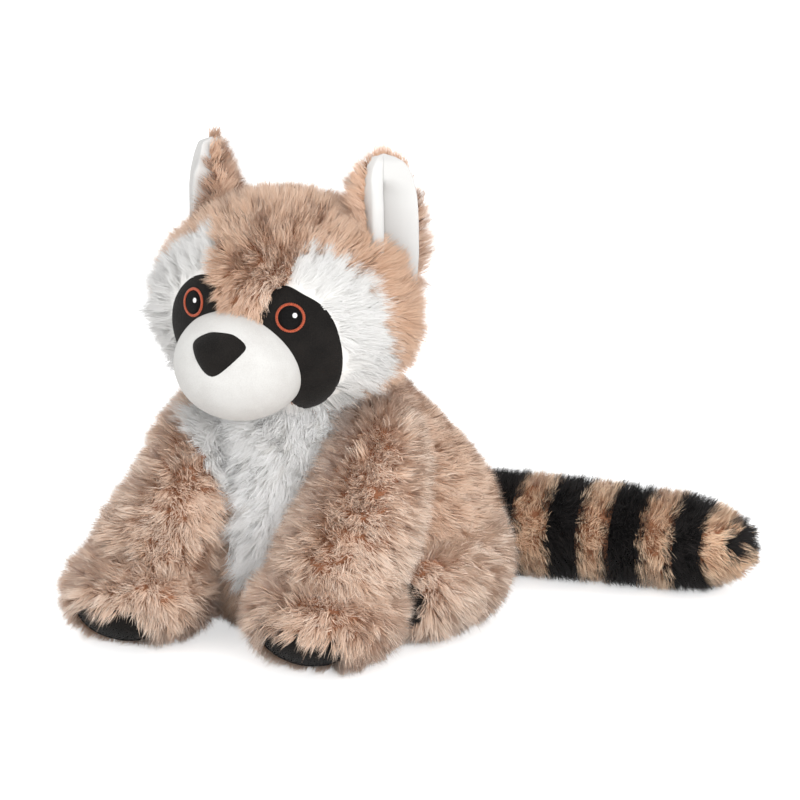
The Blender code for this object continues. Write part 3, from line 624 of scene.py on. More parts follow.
BROWN_TINTS = ((210, 170, 142), (232, 198, 172), (246, 220, 200), (255, 240, 227))
TAIL_TINTS = ((216, 172, 136), (232, 194, 160), (246, 214, 184), (255, 234, 208))
WHITE_TINTS = ((228, 227, 225), (237, 236, 234), (246, 245, 244), (255, 255, 255))
BLACK_TINTS = ((20, 18, 18), (34, 31, 31), (48, 44, 43), (70, 65, 62))
# The lining's own white, with painted shade in a dark band by the crease (0.58 to 0.655)
LINING_TONES_AND_CREASE_SHADE = ((0.0, (212, 211, 209)), (0.30, (208, 207, 205)), (0.58, (190, 188, 186)),
                (0.655, (162, 159, 156)), (0.70, (212, 211, 209)), (1.0, (216, 215, 213)))
WHITE_FUZZ_TINTS = ((206, 205, 202), (213, 212, 210), (220, 219, 217), (228, 227, 226))
BLACK_FUZZ_TINTS = ((22, 20, 19), (38, 34, 32), (56, 50, 47), (78, 71, 66))
# Painted shade deep in the pile: multipliers that darken each fibre at its root and halfway up
BROWN_ROOT_SHADE = ((0.72, 0.58, 0.49), (0.97, 0.93, 0.89))
WHITE_ROOT_SHADE = ((0.96, 0.955, 0.94), (1.0, 1.0, 0.995))
BLACK_ROOT_SHADE = ((0.5, 0.5, 0.5), (0.75, 0.75, 0.75))
brown_pile = pile_material("brown pile", BROWN_TINTS, BROWN_ROOT_SHADE, sheen=0.35)
tail_pile = pile_material("tail brown pile", TAIL_TINTS, BROWN_ROOT_SHADE, sheen=0.35)
white_pile = pile_material("white pile", WHITE_TINTS, WHITE_ROOT_SHADE, sheen=0.9)
black_pile = pile_material("black pile", BLACK_TINTS, BLACK_ROOT_SHADE, sheen=0.1)
# The brown backing is the real cloth under the pile, set darker than the pile as painted shade in the gaps
# between locks
brown_backing_gap_shade = short_pile_material("brown backing", (164, 116, 88), (126, 84, 60), sheen=0.0)
white_backing = short_pile_material("white backing", (240, 238, 235), (222, 220, 216), sheen=0.0)
black_backing = short_pile_material("black backing", (16, 14, 14), (9, 8, 8), sheen=0.0)
white_nap = short_pile_material("white short pile", (212, 211, 208), (202, 200, 197), bump=0.22, sheen=0.1)
lining_nap = lining_material("lining short pile")
black_nap = short_pile_material("black short pile", (28, 25, 23), (14, 12, 11), bump=0.6, sheen=0.06)
rust_thread = thread_material("rust thread", (190, 84, 46), (132, 50, 26))
black_thread = thread_material("black thread", (22, 20, 20), (7, 7, 7), 0.6, sheen=0.0, specular=0.12)
white_fuzz = pile_material("white fuzz", WHITE_FUZZ_TINTS, WHITE_ROOT_SHADE, sheen=0.1)
black_fuzz = pile_material("black fuzz", BLACK_FUZZ_TINTS, BLACK_ROOT_SHADE, sheen=0.05)
white_thread = thread_material("white thread", (250, 250, 250), (222, 222, 222))


# Long pile

NEIGHBOURS = list(itertools.product((-1, 0, 1), repeat=3))


def crowded(p, cells, cell, spacing):
    """Whether a place that is already taken lies nearer to p than the spacing."""
    x, y, z = cell
    for dx, dy, dz in NEIGHBOURS:
        for q in cells.get((x + dx, y + dy, z + dz), ()):
            if abs(q[0] - p[0]) < spacing and (q[0] - p[0]) ** 2 + (q[1] - p[1]) ** 2 \
                    + (q[2] - p[2]) ** 2 < spacing * spacing:
                return True
    return False


def scatter(form, spacing, keep):
    """Places spread evenly at random over a form, at least a spacing apart: points and normals."""
    count = int(form.areas.sum() / spacing ** 2 * 4)
    chosen = rng.choice(len(form.tris), count, p=form.areas / form.areas.sum())
    a, b = rng.random((2, count, 1))
    flip = a + b > 1
    a, b = np.where(flip, 1 - a, a), np.where(flip, 1 - b, b)
    corners = form.tris[chosen]
    p0, p1, p2 = (form.points[corners[:, k]] for k in range(3))
    n0, n1, n2 = (form.normals[corners[:, k]] for k in range(3))
    points = p0 + (p1 - p0) * a + (p2 - p0) * b
    normals = unit(n0 + (n1 - n0) * a + (n2 - n0) * b)
    free = keep(points)
    points, normals = points[free], normals[free]
    cells = {}
    taken = []
    for i, p in enumerate(points):
        cell = tuple(int(v) for v in np.floor(p / spacing))
        if not crowded(p, cells, cell, spacing):
            cells.setdefault(cell, []).append(p)
            taken.append(i)
    return points[taken], normals[taken]


def drift(points, size, seed):
    """Smooth random vectors over space, for pile that was brushed this way and that."""
    shift = Vector((seed * 7.3, seed * 3.1, seed * 5.7))
    return np.array([noise.noise_vector(Vector(p) / size + shift) for p in points]).reshape(-1, 3)


def grow_pile(name, form, material, keep, flow, length=0.0115, lean=15, spacing=0.0035, curved=8,
              straight=86, gather=0.16, swirl=0.24, width=0.00035, curl=0.10, seed=1, tint=0.5,
              tint_spread=1.0, swirl_size=0.024, spread=1.0):
    """Ribbons of pile in locks, rooted on a form. Flow says which way the pile lies at each point."""
    centres, normals = scatter(form, spacing, keep)
    locks = len(centres)
    slope = np.radians(lean(centres) if callable(lean) else np.full(locks, float(lean)))
    along = unit(flat_to(flow(centres, normals), normals)) * np.sin(slope)[:, None]
    along = along + swirl * flat_to(drift(centres, swirl_size, seed), normals)
    along = along + 0.14 * flat_to(rng.normal(size=(locks, 3)), normals)
    amount = np.linalg.norm(along, axis=1)
    slope = np.arcsin(np.clip(amount, 0.05, 0.97))
    along = unit(along)
    side = np.cross(normals, along)
    size = length(centres) if callable(length) else np.full(locks, length)
    size = size * rng.uniform(0.93, 1.07, locks)
    bend = rng.normal(0, curl, locks)
    tone = np.array([noise.noise(Vector(p) / 0.03 + Vector((seed, 2, 9))) for p in centres])
    middle_tint = tint(centres) if callable(tint) else tint
    tone = middle_tint + tint_spread * (0.16 * tone + rng.normal(0, 0.06, locks))

    blocks = []
    for per_lock, levels, lowest in ((curved, (0.0, 0.5), 0.86), (straight, (0.0,), 0.66)):
        strands = locks * per_lock
        if not strands:
            continue
        pick = np.repeat(np.arange(locks), per_lock)
        angle = rng.uniform(0, 2 * math.pi, strands)
        radius = spacing * spread * np.sqrt(rng.random(strands))
        n, f, s = normals[pick], along[pick], side[pick]
        offset = f * (radius * np.cos(angle))[:, None] + s * (radius * np.sin(angle))[:, None]
        share = rng.uniform(lowest, 1.02, strands)
        reach = (size[pick] * share)[:, None]
        rise, run = np.cos(slope[pick])[:, None], np.sin(slope[pick])[:, None]
        own = 0.10 * rng.normal(size=(strands, 3))
        turn = bend[pick][:, None]
        base = centres[pick] - n * 0.0006

        def at(t):
            hold = 1 - gather * t ** 0.8
            return (base + offset * hold + n * reach * rise * t + f * reach * run * t ** 1.35
                    + s * reach * turn * math.sin(2.8 * t) + own * reach * t * t)

        path = np.stack([at(t) for t in (*levels, 1.0)], 1)
        path[:, :, 2] = np.maximum(path[:, :, 2], FLOOR_GAP + 0.0012 * rng.random((strands, 1)))
        ahead = unit(path[:, 1:] - path[:, :-1])
        ahead = np.concatenate([ahead, ahead[:, -1:]], 1)
        out = n[:, None, :]
        around = rng.uniform(-1.2, 1.2, strands)[:, None, None]
        level = unit(s[:, None, :] * np.cos(around) + f[:, None, :] * np.sin(around))
        wide = unit(level - ahead * dot(level, ahead))
        face = np.cross(wide, ahead)
        front = np.where(dot(face, out) < 0, -1.0, 1.0)
        wide, face = wide * front, face * front
        count = len(levels)
        half = 0.5 * width * rng.uniform(0.75, 1.25, strands)[:, None, None]
        points = np.empty((strands, 2 * count + 1, 3))
        points[:, 0:2 * count:2] = path[:, :count] - wide[:, :count] * half
        points[:, 1:2 * count:2] = path[:, :count] + wide[:, :count] * half
        points[:, -1] = path[:, -1]
        points[:, :, 2] = np.maximum(points[:, :, 2], FLOOR_GAP)
        soft = unit(0.30 * face + 0.70 * out)
        facing = np.empty_like(points)
        facing[:, 0:2 * count:2] = unit(soft[:, :count] - 0.25 * wide[:, :count])
        facing[:, 1:2 * count:2] = unit(soft[:, :count] + 0.25 * wide[:, :count])
        facing[:, -1] = soft[:, -1]
        key = np.clip(tone[pick] + rng.normal(0, 0.16, strands), 0.01, 0.985)
        blocks.append((points, facing, key, levels, share / 1.02))
    return ribbon_mesh(name, blocks, material)


def ribbon_mesh(name, blocks, material):
    """One mesh from many ribbons: each has a pair of points at every level, and one at its tip."""
    places, normals, corners, maps = [], [], [], []
    start = 0
    for points, facing, key, levels, share in blocks:
        strands, rows = points.shape[:2]
        count = len(levels)
        faces = []
        for a in range(0, 2 * count - 2, 2):
            faces += [(a, a + 1, a + 3), (a, a + 3, a + 2)]
        faces.append((2 * count - 2, 2 * count - 1, 2 * count))
        order = (np.array(faces)[None] + (start + np.arange(strands) * rows)[:, None, None]).reshape(-1)
        place_u = np.array([(i % 2) / 640 for i in range(2 * count)] + [0.5 / 640])
        place_v = np.array([levels[i // 2] for i in range(2 * count)] + [1.0])
        u = key[:, None] + place_u[None, :]
        # Shorter fibres stop lower on the map, so their tips keep more of the painted root shade
        v = 0.004 + 0.992 * place_v[None, :] * share[:, None]
        places.append(points.reshape(-1, 3))
        normals.append(facing.reshape(-1, 3))
        corners.append(order)
        maps.append(np.stack([u, v], -1).reshape(-1, 2))
        start += strands * rows
    corners = np.concatenate(corners)
    total = len(corners) // 3
    mesh = bpy.data.meshes.new(name)
    mesh.vertices.add(start)
    mesh.vertices.foreach_set("co", np.concatenate(places).reshape(-1).astype(np.float32))
    mesh.loops.add(total * 3)
    mesh.loops.foreach_set("vertex_index", corners.astype(np.int32))
    mesh.polygons.add(total)
    mesh.polygons.foreach_set("loop_start", np.arange(0, total * 3, 3, dtype=np.int32))
    mesh.update(calc_edges=True)
    mesh.polygons.foreach_set("use_smooth", np.ones(total, bool))
    layer = mesh.uv_layers.new(name="OFBake")
    layer.data.foreach_set("uv", np.concatenate(maps)[corners].reshape(-1).astype(np.float32))
    mesh.normals_split_custom_set_from_vertices(np.concatenate(normals))
    mesh.materials.append(material)
    item = placed(name, mesh)
    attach(item, "root")
    return item


def nap_on(item, material, length=0.0012, spacing=0.0011, per_spot=5, seed=40):
    """The short pile that stands on a piece of cloth, seen best along its edges."""
    mesh = item.data
    mesh.calc_loop_triangles()
    points = np.array([vertex.co[:] for vertex in mesh.vertices])
    cloth = Form(points, [triangle.vertices[:] for triangle in mesh.loop_triangles])
    grow_pile(item.name + "_nap", cloth, material, lambda p: np.ones(len(p), bool),
              lambda p, n: np.array((0.0, 0.0, -1.0)) + 0 * p, length, 22, spacing, curved=0,
              straight=per_spot, gather=0.0, width=0.00022, curl=0.0, seed=seed)


# Head

head = ellipsoid(HEAD_CENTRE, HEAD_SKIN + HEAD_BACKING, HEAD_SPIN, 96, 64)


def on_cheek(p, side):
    return in_outline(p, CHEEK_CURVES, side) & ~in_outline(p, PATCH_EDGES, side)


def bare_head(p):
    """Where the head has brown pile."""
    free = ~inside_muzzle(p, 0.0008) & ~inside_body(p, -0.012)
    aside, up = head_angles(p)
    free &= (up > -42) | (np.abs(aside) > 62)
    for side in SIDES.values():
        free &= ~in_outline(p, CHEEK_EDGES, side) & ~in_outline(p, PATCH_EDGES, side)
        free &= ~inside_ear(p, side, -0.004)
    return free


def blaze_share(p):
    """How much a point of the head belongs to the short pile between the eyes: 0 to 1."""
    aside, up = head_angles(p)
    return (1 - smooth_step(14, 34, np.abs(aside))) * (1 - smooth_step(0, 42, up))


def ear_foot_share(p):
    """How much a point of the head belongs to the pile that stands up against an ear's lining."""
    share = np.zeros(len(p))
    for side in SIDES.values():
        foot = from_head(EAR_ROOT * np.array((side, 1, 1)) + np.array((0.006 * side, -0.006, -0.004)))
        share = np.maximum(share, np.exp(-np.sum((p - foot) ** 2, axis=-1) / 0.014 ** 2))
    return share


def head_flow(p, n):
    away = p - from_head(np.array((0, -0.042, 0.040)))
    back = unit(away) + np.array((0, 0.35, -0.1))
    down = np.array((0.0, 0.0, -1.0)) @ HEAD_SPIN.T
    share = blaze_share(p)[:, None]
    foot = ear_foot_share(p)[:, None]
    return (back * (1 - share) + down * share) * (1 - foot) + np.array((0.0, 0.3, 2.0)) * foot


def head_length(p):
    local = unit(to_head(p))
    aside, up = angles_of(local)
    flank = smooth_step(0.72, 0.95, np.abs(local[:, 0])) * smooth_step(-50, -10, up)
    return 0.0108 - 0.0030 * blaze_share(p) + 0.0034 * flank


def head_tint_with_painted_light(p):
    way = unit(to_head(p))
    aside, up = angles_of(way)
    # Painted light: the tint is raised on a spot of the forehead, against the pile's shade there
    facing = np.exp(-((aside - 20) ** 2 + (up - 24) ** 2) / 14 ** 2)
    # Painted shade: the tint is lowered on the head's left side, to offset the key lamp that falls there
    return 0.45 - 0.18 * smooth_step(0.60, 0.90, way[:, 0]) + 0.35 * facing


def head_lean(p):
    from_whorl = np.linalg.norm(to_head(p) - np.array((0, -0.036, 0.036)), axis=-1)
    return 7 + 9 * smooth_step(0.010, 0.035, from_whorl) + 26 * blaze_share(p) + 30 * ear_foot_share(p)


grow_pile("head_pile", head, brown_pile, bare_head, head_flow, head_length, head_lean, seed=1,
          spacing=0.0030, straight=76, tint=head_tint_with_painted_light)


def patch_gap(p, side):
    """How far points of the head lie from an eye patch's edge, in degrees, and the nearest edge points."""
    aside, up = head_angles(p)
    places = np.stack([aside * side, up], -1)
    curve = PATCH_CURVES[side]
    gaps = np.linalg.norm(places[:, None] - curve[None], axis=-1)
    nearest = np.argmin(gaps, axis=1)
    edge = on_skin(way_of(curve[:, 0], curve[:, 1], side), 0.0)
    return gaps[np.arange(len(p)), nearest], edge[nearest]


for name, side in SIDES.items():
    def cheek_flow(p, n):
        gap, edge = patch_gap(p, side)
        return unit(p - edge) + np.array((0.30 * side, 0.35, -0.12))

    def cheek_lean(p):
        return 66 - 20 * smooth_step(1, 14, patch_gap(p, side)[0])

    def cheek_length(p):
        aside, up = head_angles(p)
        low = 0.0030 * (side < 0) * smooth_step(20, -5, up)
        return 0.0100 + low + 0.0050 * smooth_step(1, 16, patch_gap(p, side)[0]) * smooth_step(34, 8, up)

    grow_pile("cheek_pile_" + name, head, white_pile,
              lambda p: on_cheek(p, side) & ~inside_muzzle(p, 0.0004), cheek_flow, cheek_length,
              cheek_lean, spacing=0.0028, curved=20, straight=120, seed=3 + side, swirl=0.10, curl=0.05,
              gather=0.26, tint=0.35, tint_spread=0.7)


def on_chin(p):
    aside, up = head_angles(p)
    free = (up <= -42) & (up > -75) & (np.abs(aside) <= 62) & ~inside_muzzle(p, 0.0004)
    for side in SIDES.values():
        free &= ~in_outline(p, CHEEK_CURVES, side) & ~in_outline(p, PATCH_EDGES, side)
    return free & ~inside_body(p, -0.012)


grow_pile("chin_pile", head, white_pile, on_chin, lambda p, n: np.array((0, 0.3, -1.0)) + 0 * p, 0.0075,
          35, seed=5)


def patch_grid(curve, side, height, name, material, rings=14, edge=0.0012):
    """A panel on the head's skin inside an outline, at its full height but for a rounded edge."""
    ways = way_of(curve[:, 0], curve[:, 1], side)
    middle = unit(ways.mean(0))
    points = [on_skin(middle, height)]
    count = len(ways)
    for r in range(1, rings + 1):
        share = r / rings
        way = unit(middle + (ways - middle) * share)
        drop = edge * share ** 8
        points += list(on_skin(way, height - drop))
    faces = [(0, 1 + i, 1 + (i + 1) % count) for i in range(count)] + ring_faces(rings, count, 1)
    if side < 0:
        faces = [face[::-1] for face in faces]
    return new_object(name, points, faces, material)


head_hide = form_object("head_backing", head, brown_backing_gap_shade)
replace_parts(head_hide, "head")
for name, side in SIDES.items():
    cheek = patch_grid(CHEEK_CURVES[side], side, HEAD_BACKING + 0.0004, "cheek_backing_" + name,
                       white_backing, edge=0.0003)
    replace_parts(cheek, "cheek_" + name)
    patch = patch_grid(closed_curve(PATCH_SEWN[name], 10), side, PATCH_CLOTH + 0.0010, "patch_" + name,
                       black_nap, rings=22, edge=0.0014)
    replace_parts(patch, "eye_patch_" + name)
    nap_on(patch, black_fuzz)

# Muzzle and nose
muzzle_middle = from_head(MUZZLE_CENTRE)
muzzle = ellipsoid(muzzle_middle, MUZZLE_RADII, HEAD_SPIN, 96, 64)
muzzle_object = form_object("muzzle_cloth", muzzle, white_nap)
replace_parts(muzzle_object, "muzzle")
nap_on(muzzle_object, white_fuzz, length=0.0010, spacing=0.0012)


def on_muzzle(x, z, height):
    """Points over the muzzle's front, at places across and up from its middle."""
    radii = MUZZLE_RADII + height
    share = np.clip(1 - (x / radii[0]) ** 2 - (z / radii[2]) ** 2, 0.02, 1)
    local = np.stack([MUZZLE_CENTRE[0] + x, MUZZLE_CENTRE[1] - radii[1] * np.sqrt(share),
                      MUZZLE_CENTRE[2] + z], -1)
    return from_head(local)


nose_corners = ((-1.0, 0.30), (-0.55, 0.88), (0.0, 1.0), (0.55, 0.88), (1.0, 0.30), (0.55, -0.55),
                (0.0, -1.0), (-0.55, -0.55))
nose_curve = closed_curve(nose_corners, 10)
nose_curve[:, 0] *= NOSE_HALF_WIDTH
nose_curve[:, 1] *= np.where(nose_curve[:, 1] > 0, NOSE_ABOVE, NOSE_BELOW)
nose_points = [on_muzzle(np.array(-MUZZLE_CENTRE[0]), np.array(NOSE_HEIGHT), 0.0026)]
NOSE_ROWS = 16
for r in range(1, NOSE_ROWS + 1):
    share = r / NOSE_ROWS
    height = 0.0030 * (1 - share ** 3) - 0.0004
    nose_points += list(on_muzzle(nose_curve[:, 0] * share - MUZZLE_CENTRE[0],
                                  nose_curve[:, 1] * share + NOSE_HEIGHT, height))
count = len(nose_curve)
nose_faces = [(0, 1 + (i + 1) % count, 1 + i) for i in range(count)]
nose_faces += [(a, d, c, b) for a, b, c, d in ring_faces(NOSE_ROWS, count, 1)]
nose = new_object("nose_cloth", nose_points, nose_faces, black_nap)
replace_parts(nose, "nose")
nap_on(nose, black_fuzz)

# Eyes


def on_head(middle, aside, up, height):
    level = unit(np.cross(UP, middle))
    rise = np.cross(middle, level)
    way = unit(middle * reach_of(middle, HEAD_SKIN + height) + level * aside + rise * up)
    return on_skin(way, height)


def stitches(name, ends, thickness, material, middle, height, arch=0.5):
    """Threads laid side by side: each runs between two places on the cloth and bulges in between."""
    points, faces = [], []
    sides, steps = 7, 7
    for (x1, y1), (x2, y2) in ends:
        start = len(points)
        across = np.array((y1 - y2, x2 - x1))
        across = across / max(np.linalg.norm(across), 1e-9)
        for k in range(steps):
            t = k / (steps - 1)
            taper = math.sin(math.pi * (0.08 + 0.84 * t)) ** 0.5
            for m in range(sides):
                roll = 2 * math.pi * m / sides
                sideways = thickness * 0.5 * taper * math.cos(roll)
                upward = thickness * arch * taper * (math.sin(roll) + 0.4)
                points.append(on_head(middle, x1 + (x2 - x1) * t + across[0] * sideways,
                                      y1 + (y2 - y1) * t + across[1] * sideways, height + upward))
        for k in range(steps - 1):
            for m in range(sides):
                a, b = start + k * sides + m, start + k * sides + (m + 1) % sides
                faces.append((a, b, b + sides, a + sides))
        faces.append(tuple(range(start, start + sides))[::-1])
        faces.append(tuple(range(start + (steps - 1) * sides, start + steps * sides)))
    return new_object(name, points, faces, material)


RING_STITCHES = 44
RING_HALF_WIDTH = 0.00060
STITCH_LEAN = 0.12
PUPIL_STITCHES, GLINT_STITCHES = 17, 5
GLINT_RADIUS, GLINT_HALF_HEIGHT = 0.0012, 0.0009
SHORTEST_STITCH = 0.0004


def rows_of_stitches(count, tall, radius, middle=(0.0, 0.0)):
    """Level stitches that fill a round shape: the ends of each."""
    ends = []
    for i in range(count):
        y = (2 * i / (count - 1) - 1) * tall
        half = math.sqrt(max(radius ** 2 - y * y, SHORTEST_STITCH ** 2))
        ends.append(((middle[0] - half, middle[1] + y), (middle[0] + half, middle[1] + y)))
    return ends


for name, side in SIDES.items():
    middle = way_of(*EYE_DIRECTIONS[name], side)
    cloth = PATCH_CLOTH + 0.0011
    ring = []
    lean = STITCH_LEAN
    inner, outer = EYE_RING_RADIUS - RING_HALF_WIDTH, EYE_RING_RADIUS + RING_HALF_WIDTH
    for i in range(RING_STITCHES):
        angle = 2 * math.pi * i / RING_STITCHES
        ring.append(((inner * math.cos(angle - lean), inner * math.sin(angle - lean)),
                     (outer * math.cos(angle + lean), outer * math.sin(angle + lean))))
    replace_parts(stitches("eye_ring_stitches_" + name, ring, 0.00095, rust_thread, middle, cloth),
                "eye_ring_" + name)
    pupil = rows_of_stitches(PUPIL_STITCHES, PUPIL_RADIUS - 0.0002, PUPIL_RADIUS)
    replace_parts(stitches("pupil_stitches_" + name, pupil, 0.00085, black_thread, middle, cloth + 0.0001),
                "pupil_" + name)
    glint = rows_of_stitches(GLINT_STITCHES, GLINT_HALF_HEIGHT, GLINT_RADIUS, HIGHLIGHT_OFFSET)
    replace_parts(stitches("highlight_stitches_" + name, glint, 0.00065, white_thread, middle,
                         cloth + 0.0009), "eye_highlight_" + name)

# Ears
INNER_SHARES = {1: 0.88, -1: 0.66}      # the lining's inner half over its outer half, on each side
INNER_HAIR = {1: 0.0105, -1: 0.0125}    # the longest pile at an ear's inner edge, over the rest
EAR_BEHIND = 0.0088         # how far behind the lining's rim the backing keeps
LINING_ROLL = 0.0036        # height of the rolled edge on the lining's inner side
CREASE_PLACE = 0.36         # where the roll ends in a crease, from 0 in the middle to 1 at the edge


def lining_point(side, share, t):
    """A point of the lining in the ear's own frame. Share is -1 to 1 across it, and t is foot to tip."""
    inner = share * side
    half = (along_ear(t, LINING_HALF_WIDTHS) + 0.0008) * (INNER_SHARES[side] if inner > 0
                                                            else LINING_OUTER_SHARE)
    half = half * (1 - float(smooth_step(0.985, 1.0, t)))
    if side < 0 < inner:
        half = half * (1 - 0.5 * float(smooth_step(0.75, 0.95, t)))
    middle = (1 + CREASE_PLACE) / 2
    reach = (1 - CREASE_PLACE) / 2
    roll = LINING_ROLL * math.sqrt(max(1 - ((inner - middle) / reach) ** 2, 0))
    groove = 0.0030 * float(smooth_step(CREASE_PLACE - 0.22, CREASE_PLACE, inner))
    panel = -0.0042 + 0.0060 * float(smooth_step(CREASE_PLACE, -0.80, inner)) - groove
    creased = 1 - float(smooth_step(0.70, 0.84, t))
    relief = creased * (roll if inner > CREASE_PLACE else panel) + (1 - creased) * 0.0012
    tuck = 0.0060 * max(abs(share) - 0.93, 0) / 0.07 + 0.0040 * float(smooth_step(0.95, 1.0, t))
    return np.array((ear_middle(t, side) + share * half, along_ear(t, LINING_DEPTH) + relief - tuck,
                     t * (LINING_LENGTH + 0.0030) - 0.0015))


for name, side in SIDES.items():
    turn, root = ear_frame(side)
    leaf = ear_form(side, -EAR_PILE)

    def ear_places(p):
        """Points in the ear's own frame: inward from its middle line, forward, and from foot to tip."""
        q = (p - root) @ turn
        t = np.clip(q[:, 2] / EAR_LENGTH, 0, 1)
        return (q[:, 0] - ear_middle(t, side)) * side, q[:, 1], t

    def on_ear(p):
        inward, forward, t = ear_places(p)
        halves = np.where(inward > 0, INNER_SHARES[side], LINING_OUTER_SHARE)
        reach = along_ear(t, LINING_HALF_WIDTHS) * halves + 0.0010
        lined = (forward > -0.001) & (np.abs(inward) < reach) & (t < 0.97)
        return ~lined & ~inside_head(p, 0.001)

    def ear_flow(p, n):
        inward, forward, t = ear_places(p)
        local = np.stack([inward * side * 60, -0.6 * np.ones(len(t)), 1.0 + 0 * t], -1)
        return local @ turn.T

    def ear_hair(p):
        inward, forward, t = ear_places(p)
        inner = smooth_step(0.0, 0.012, inward)
        back = smooth_step(0.002, -0.006, forward)
        outer = 0.0030 * smooth_step(0.0, -0.012, inward) * smooth_step(0.9, 0.6, t)
        return 0.0080 + outer + INNER_HAIR[side] * np.maximum(inner, back) * (1 - t) ** 1.2

    local = (leaf.points - root) @ turn
    inward, forward, height = ear_places(leaf.points)
    lined = np.abs(inward) < along_ear(height, LINING_HALF_WIDTHS)
    behind = along_ear(height, LINING_DEPTH) - EAR_BEHIND * (1 - 0.5 * smooth_step(0.8, 1, height))
    local[:, 1] = np.where(lined, np.minimum(forward, behind), forward)
    hide = new_object("ear_backing_" + name, root + local @ turn.T, leaf.tris, brown_backing_gap_shade)
    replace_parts(hide, "ear_" + name)
    grow_pile("ear_pile_" + name, leaf, brown_pile, on_ear, ear_flow, ear_hair, 34, spacing=0.0030,
              seed=6 + side)

    rows, columns = 48, 64
    grid = [root + turn @ lining_point(side, 2 * c / columns - 1, r / rows)
            for r in range(rows + 1) for c in range(columns + 1)]
    cloth = new_object("ear_lining_cloth_" + name, grid, sheet_faces(rows, columns), lining_nap)
    layer = cloth.data.uv_layers.new(name="OFBake")
    for loop in cloth.data.loops:
        r, c = divmod(loop.vertex_index, columns + 1)
        across = c / columns if side > 0 else 1 - c / columns
        # Toward the tip the crease flattens, so the map there is moved off the painted crease shade
        if across < 0.67:
            across = across + (0.12 - across) * float(smooth_step(0.70, 0.86, r / rows))
        layer.data[loop.index].uv = (0.01 + 0.98 * across, 0.01 + 0.98 * r / rows)
    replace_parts(cloth, "ear_lining_" + name)

# Body and chest
body = body_form(-BODY_PILE)


def in_chest(p):
    table = np.array(CHEST_OUTLINE)[::-1]
    half = np.interp(p[:, 2], table[:, 1], table[:, 0])
    half = half - 0.006 * (p[:, 0] > 0) * smooth_step(0.086, 0.070, p[:, 2])
    return (p[:, 1] < -0.01) & (np.abs(p[:, 0]) < half) & (p[:, 2] > 0.024) & (p[:, 2] < 0.135)


BIB_HEIGHTS = (0.070, 0.076, 0.090, 0.099, 0.112)
BIB_EDGE = (-0.014, -0.019, -0.0275, -0.032, -0.046)


def in_bib(p, wider=0.0):
    """Where the chest's white pile spreads over the inside of the right arm."""
    edge = np.interp(p[:, 2], BIB_HEIGHTS, BIB_EDGE)
    return (p[:, 0] > edge - wider) & (p[:, 2] > 0.070 - wider) & (p[:, 1] < -0.03)


def bare_body(p):
    free = ~in_chest(p) & ~inside_head(p, 0.0) & ~inside_tail(p, -0.012) & ~inside_muzzle(p)
    free &= p[:, 2] > 0.004
    for name, side in SIDES.items():
        free &= ~inside_arm(p, name, -0.010) & ~inside_leg(p, side, -0.010)
    return free


def body_flow(p, n):
    return np.array((0.0, 0.15, -1.0)) + 0.35 * n * np.array((1, 1, 0))


def body_length(p):
    return 0.0115 - 0.0036 * smooth_step(0.070, 0.100, p[:, 2])


for name, half in (("front", -1), ("back", 1)):
    grow_pile("body_pile_" + name, body, brown_pile, lambda p: bare_body(p) & (p[:, 1] * half > 0),
              body_flow, body_length, seed=12, spacing=0.0035 if half < 0 else 0.0037)
body_hide = form_object("body_backing", body, brown_backing_gap_shade)
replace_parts(body_hide, "body")


def chest_flow(p, n):
    return np.array((0.0, 0.0, -1.0)) + 5.0 * p * np.array((1, 0, 0))


grow_pile("chest_pile", body, white_pile, lambda p: in_chest(p) & ~inside_muzzle(p), chest_flow,
          0.0120, 32, spacing=0.0033, curved=14, straight=76, seed=15, swirl=0.55, swirl_size=0.014,
          gather=0.34, tint=0.8)
chest_points = []
CHEST_ROWS, CHEST_COLUMNS = 24, 12
chest_table = np.array(CHEST_OUTLINE)[::-1]
for r in range(CHEST_ROWS + 1):
    z = 0.024 + (0.130 - 0.024) * r / CHEST_ROWS
    wide, deep, back = body_ring(z)
    wide, deep = wide - BODY_PILE + 0.0006, deep - BODY_PILE + 0.0006
    half = np.interp(z, chest_table[:, 1], chest_table[:, 0])
    for c in range(CHEST_COLUMNS + 1):
        x = half * (2 * c / CHEST_COLUMNS - 1)
        chest_points.append((x, back - deep * math.sqrt(max(1 - (x / wide) ** 2, 0)), z))
chest_hide = new_object("chest_backing", chest_points, sheet_faces(CHEST_ROWS, CHEST_COLUMNS),
                        white_backing)
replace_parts(chest_hide, "chest_panel")


# Arms, paws and pads

def pad_share(p, centre, middle, wide, tall):
    """How far a point lies from a pad's middle, where 1 is its edge."""
    way = unit(p - centre)
    level = unit(np.cross(middle, UP))
    rise = np.cross(level, middle)
    ahead = dot(way, middle)[:, 0]
    x, y = dot(way, level)[:, 0] / wide, dot(way, rise)[:, 0] / tall
    return np.where(ahead > 0, np.sqrt(x * x + y * y), 9.0)


def pad_cloth(name, centre, radii, middle, wide, tall, rows=16, sides=48):
    """A smooth pad on a rounded form: a disc of cloth that bulges a little."""
    level = unit(np.cross(middle, UP))
    rise = np.cross(level, middle)
    points = []
    for r in range(rows + 1):
        share = r / rows
        ring = []
        for s in range(sides):
            angle = 2 * math.pi * s / sides
            x, y = share * wide * math.cos(angle), share * tall * math.sin(angle)
            way = unit(middle * math.sqrt(max(1 - x * x - y * y, 0.05)) + level * x + rise * y)
            height = 0.0022 * (1 - share ** 4) - 0.0006
            ring.append(centre + way * reach_of(way, radii + height))
        points += ring
    return new_object(name, over_floor(np.array(points)), ring_faces(rows + 1, sides), black_nap)


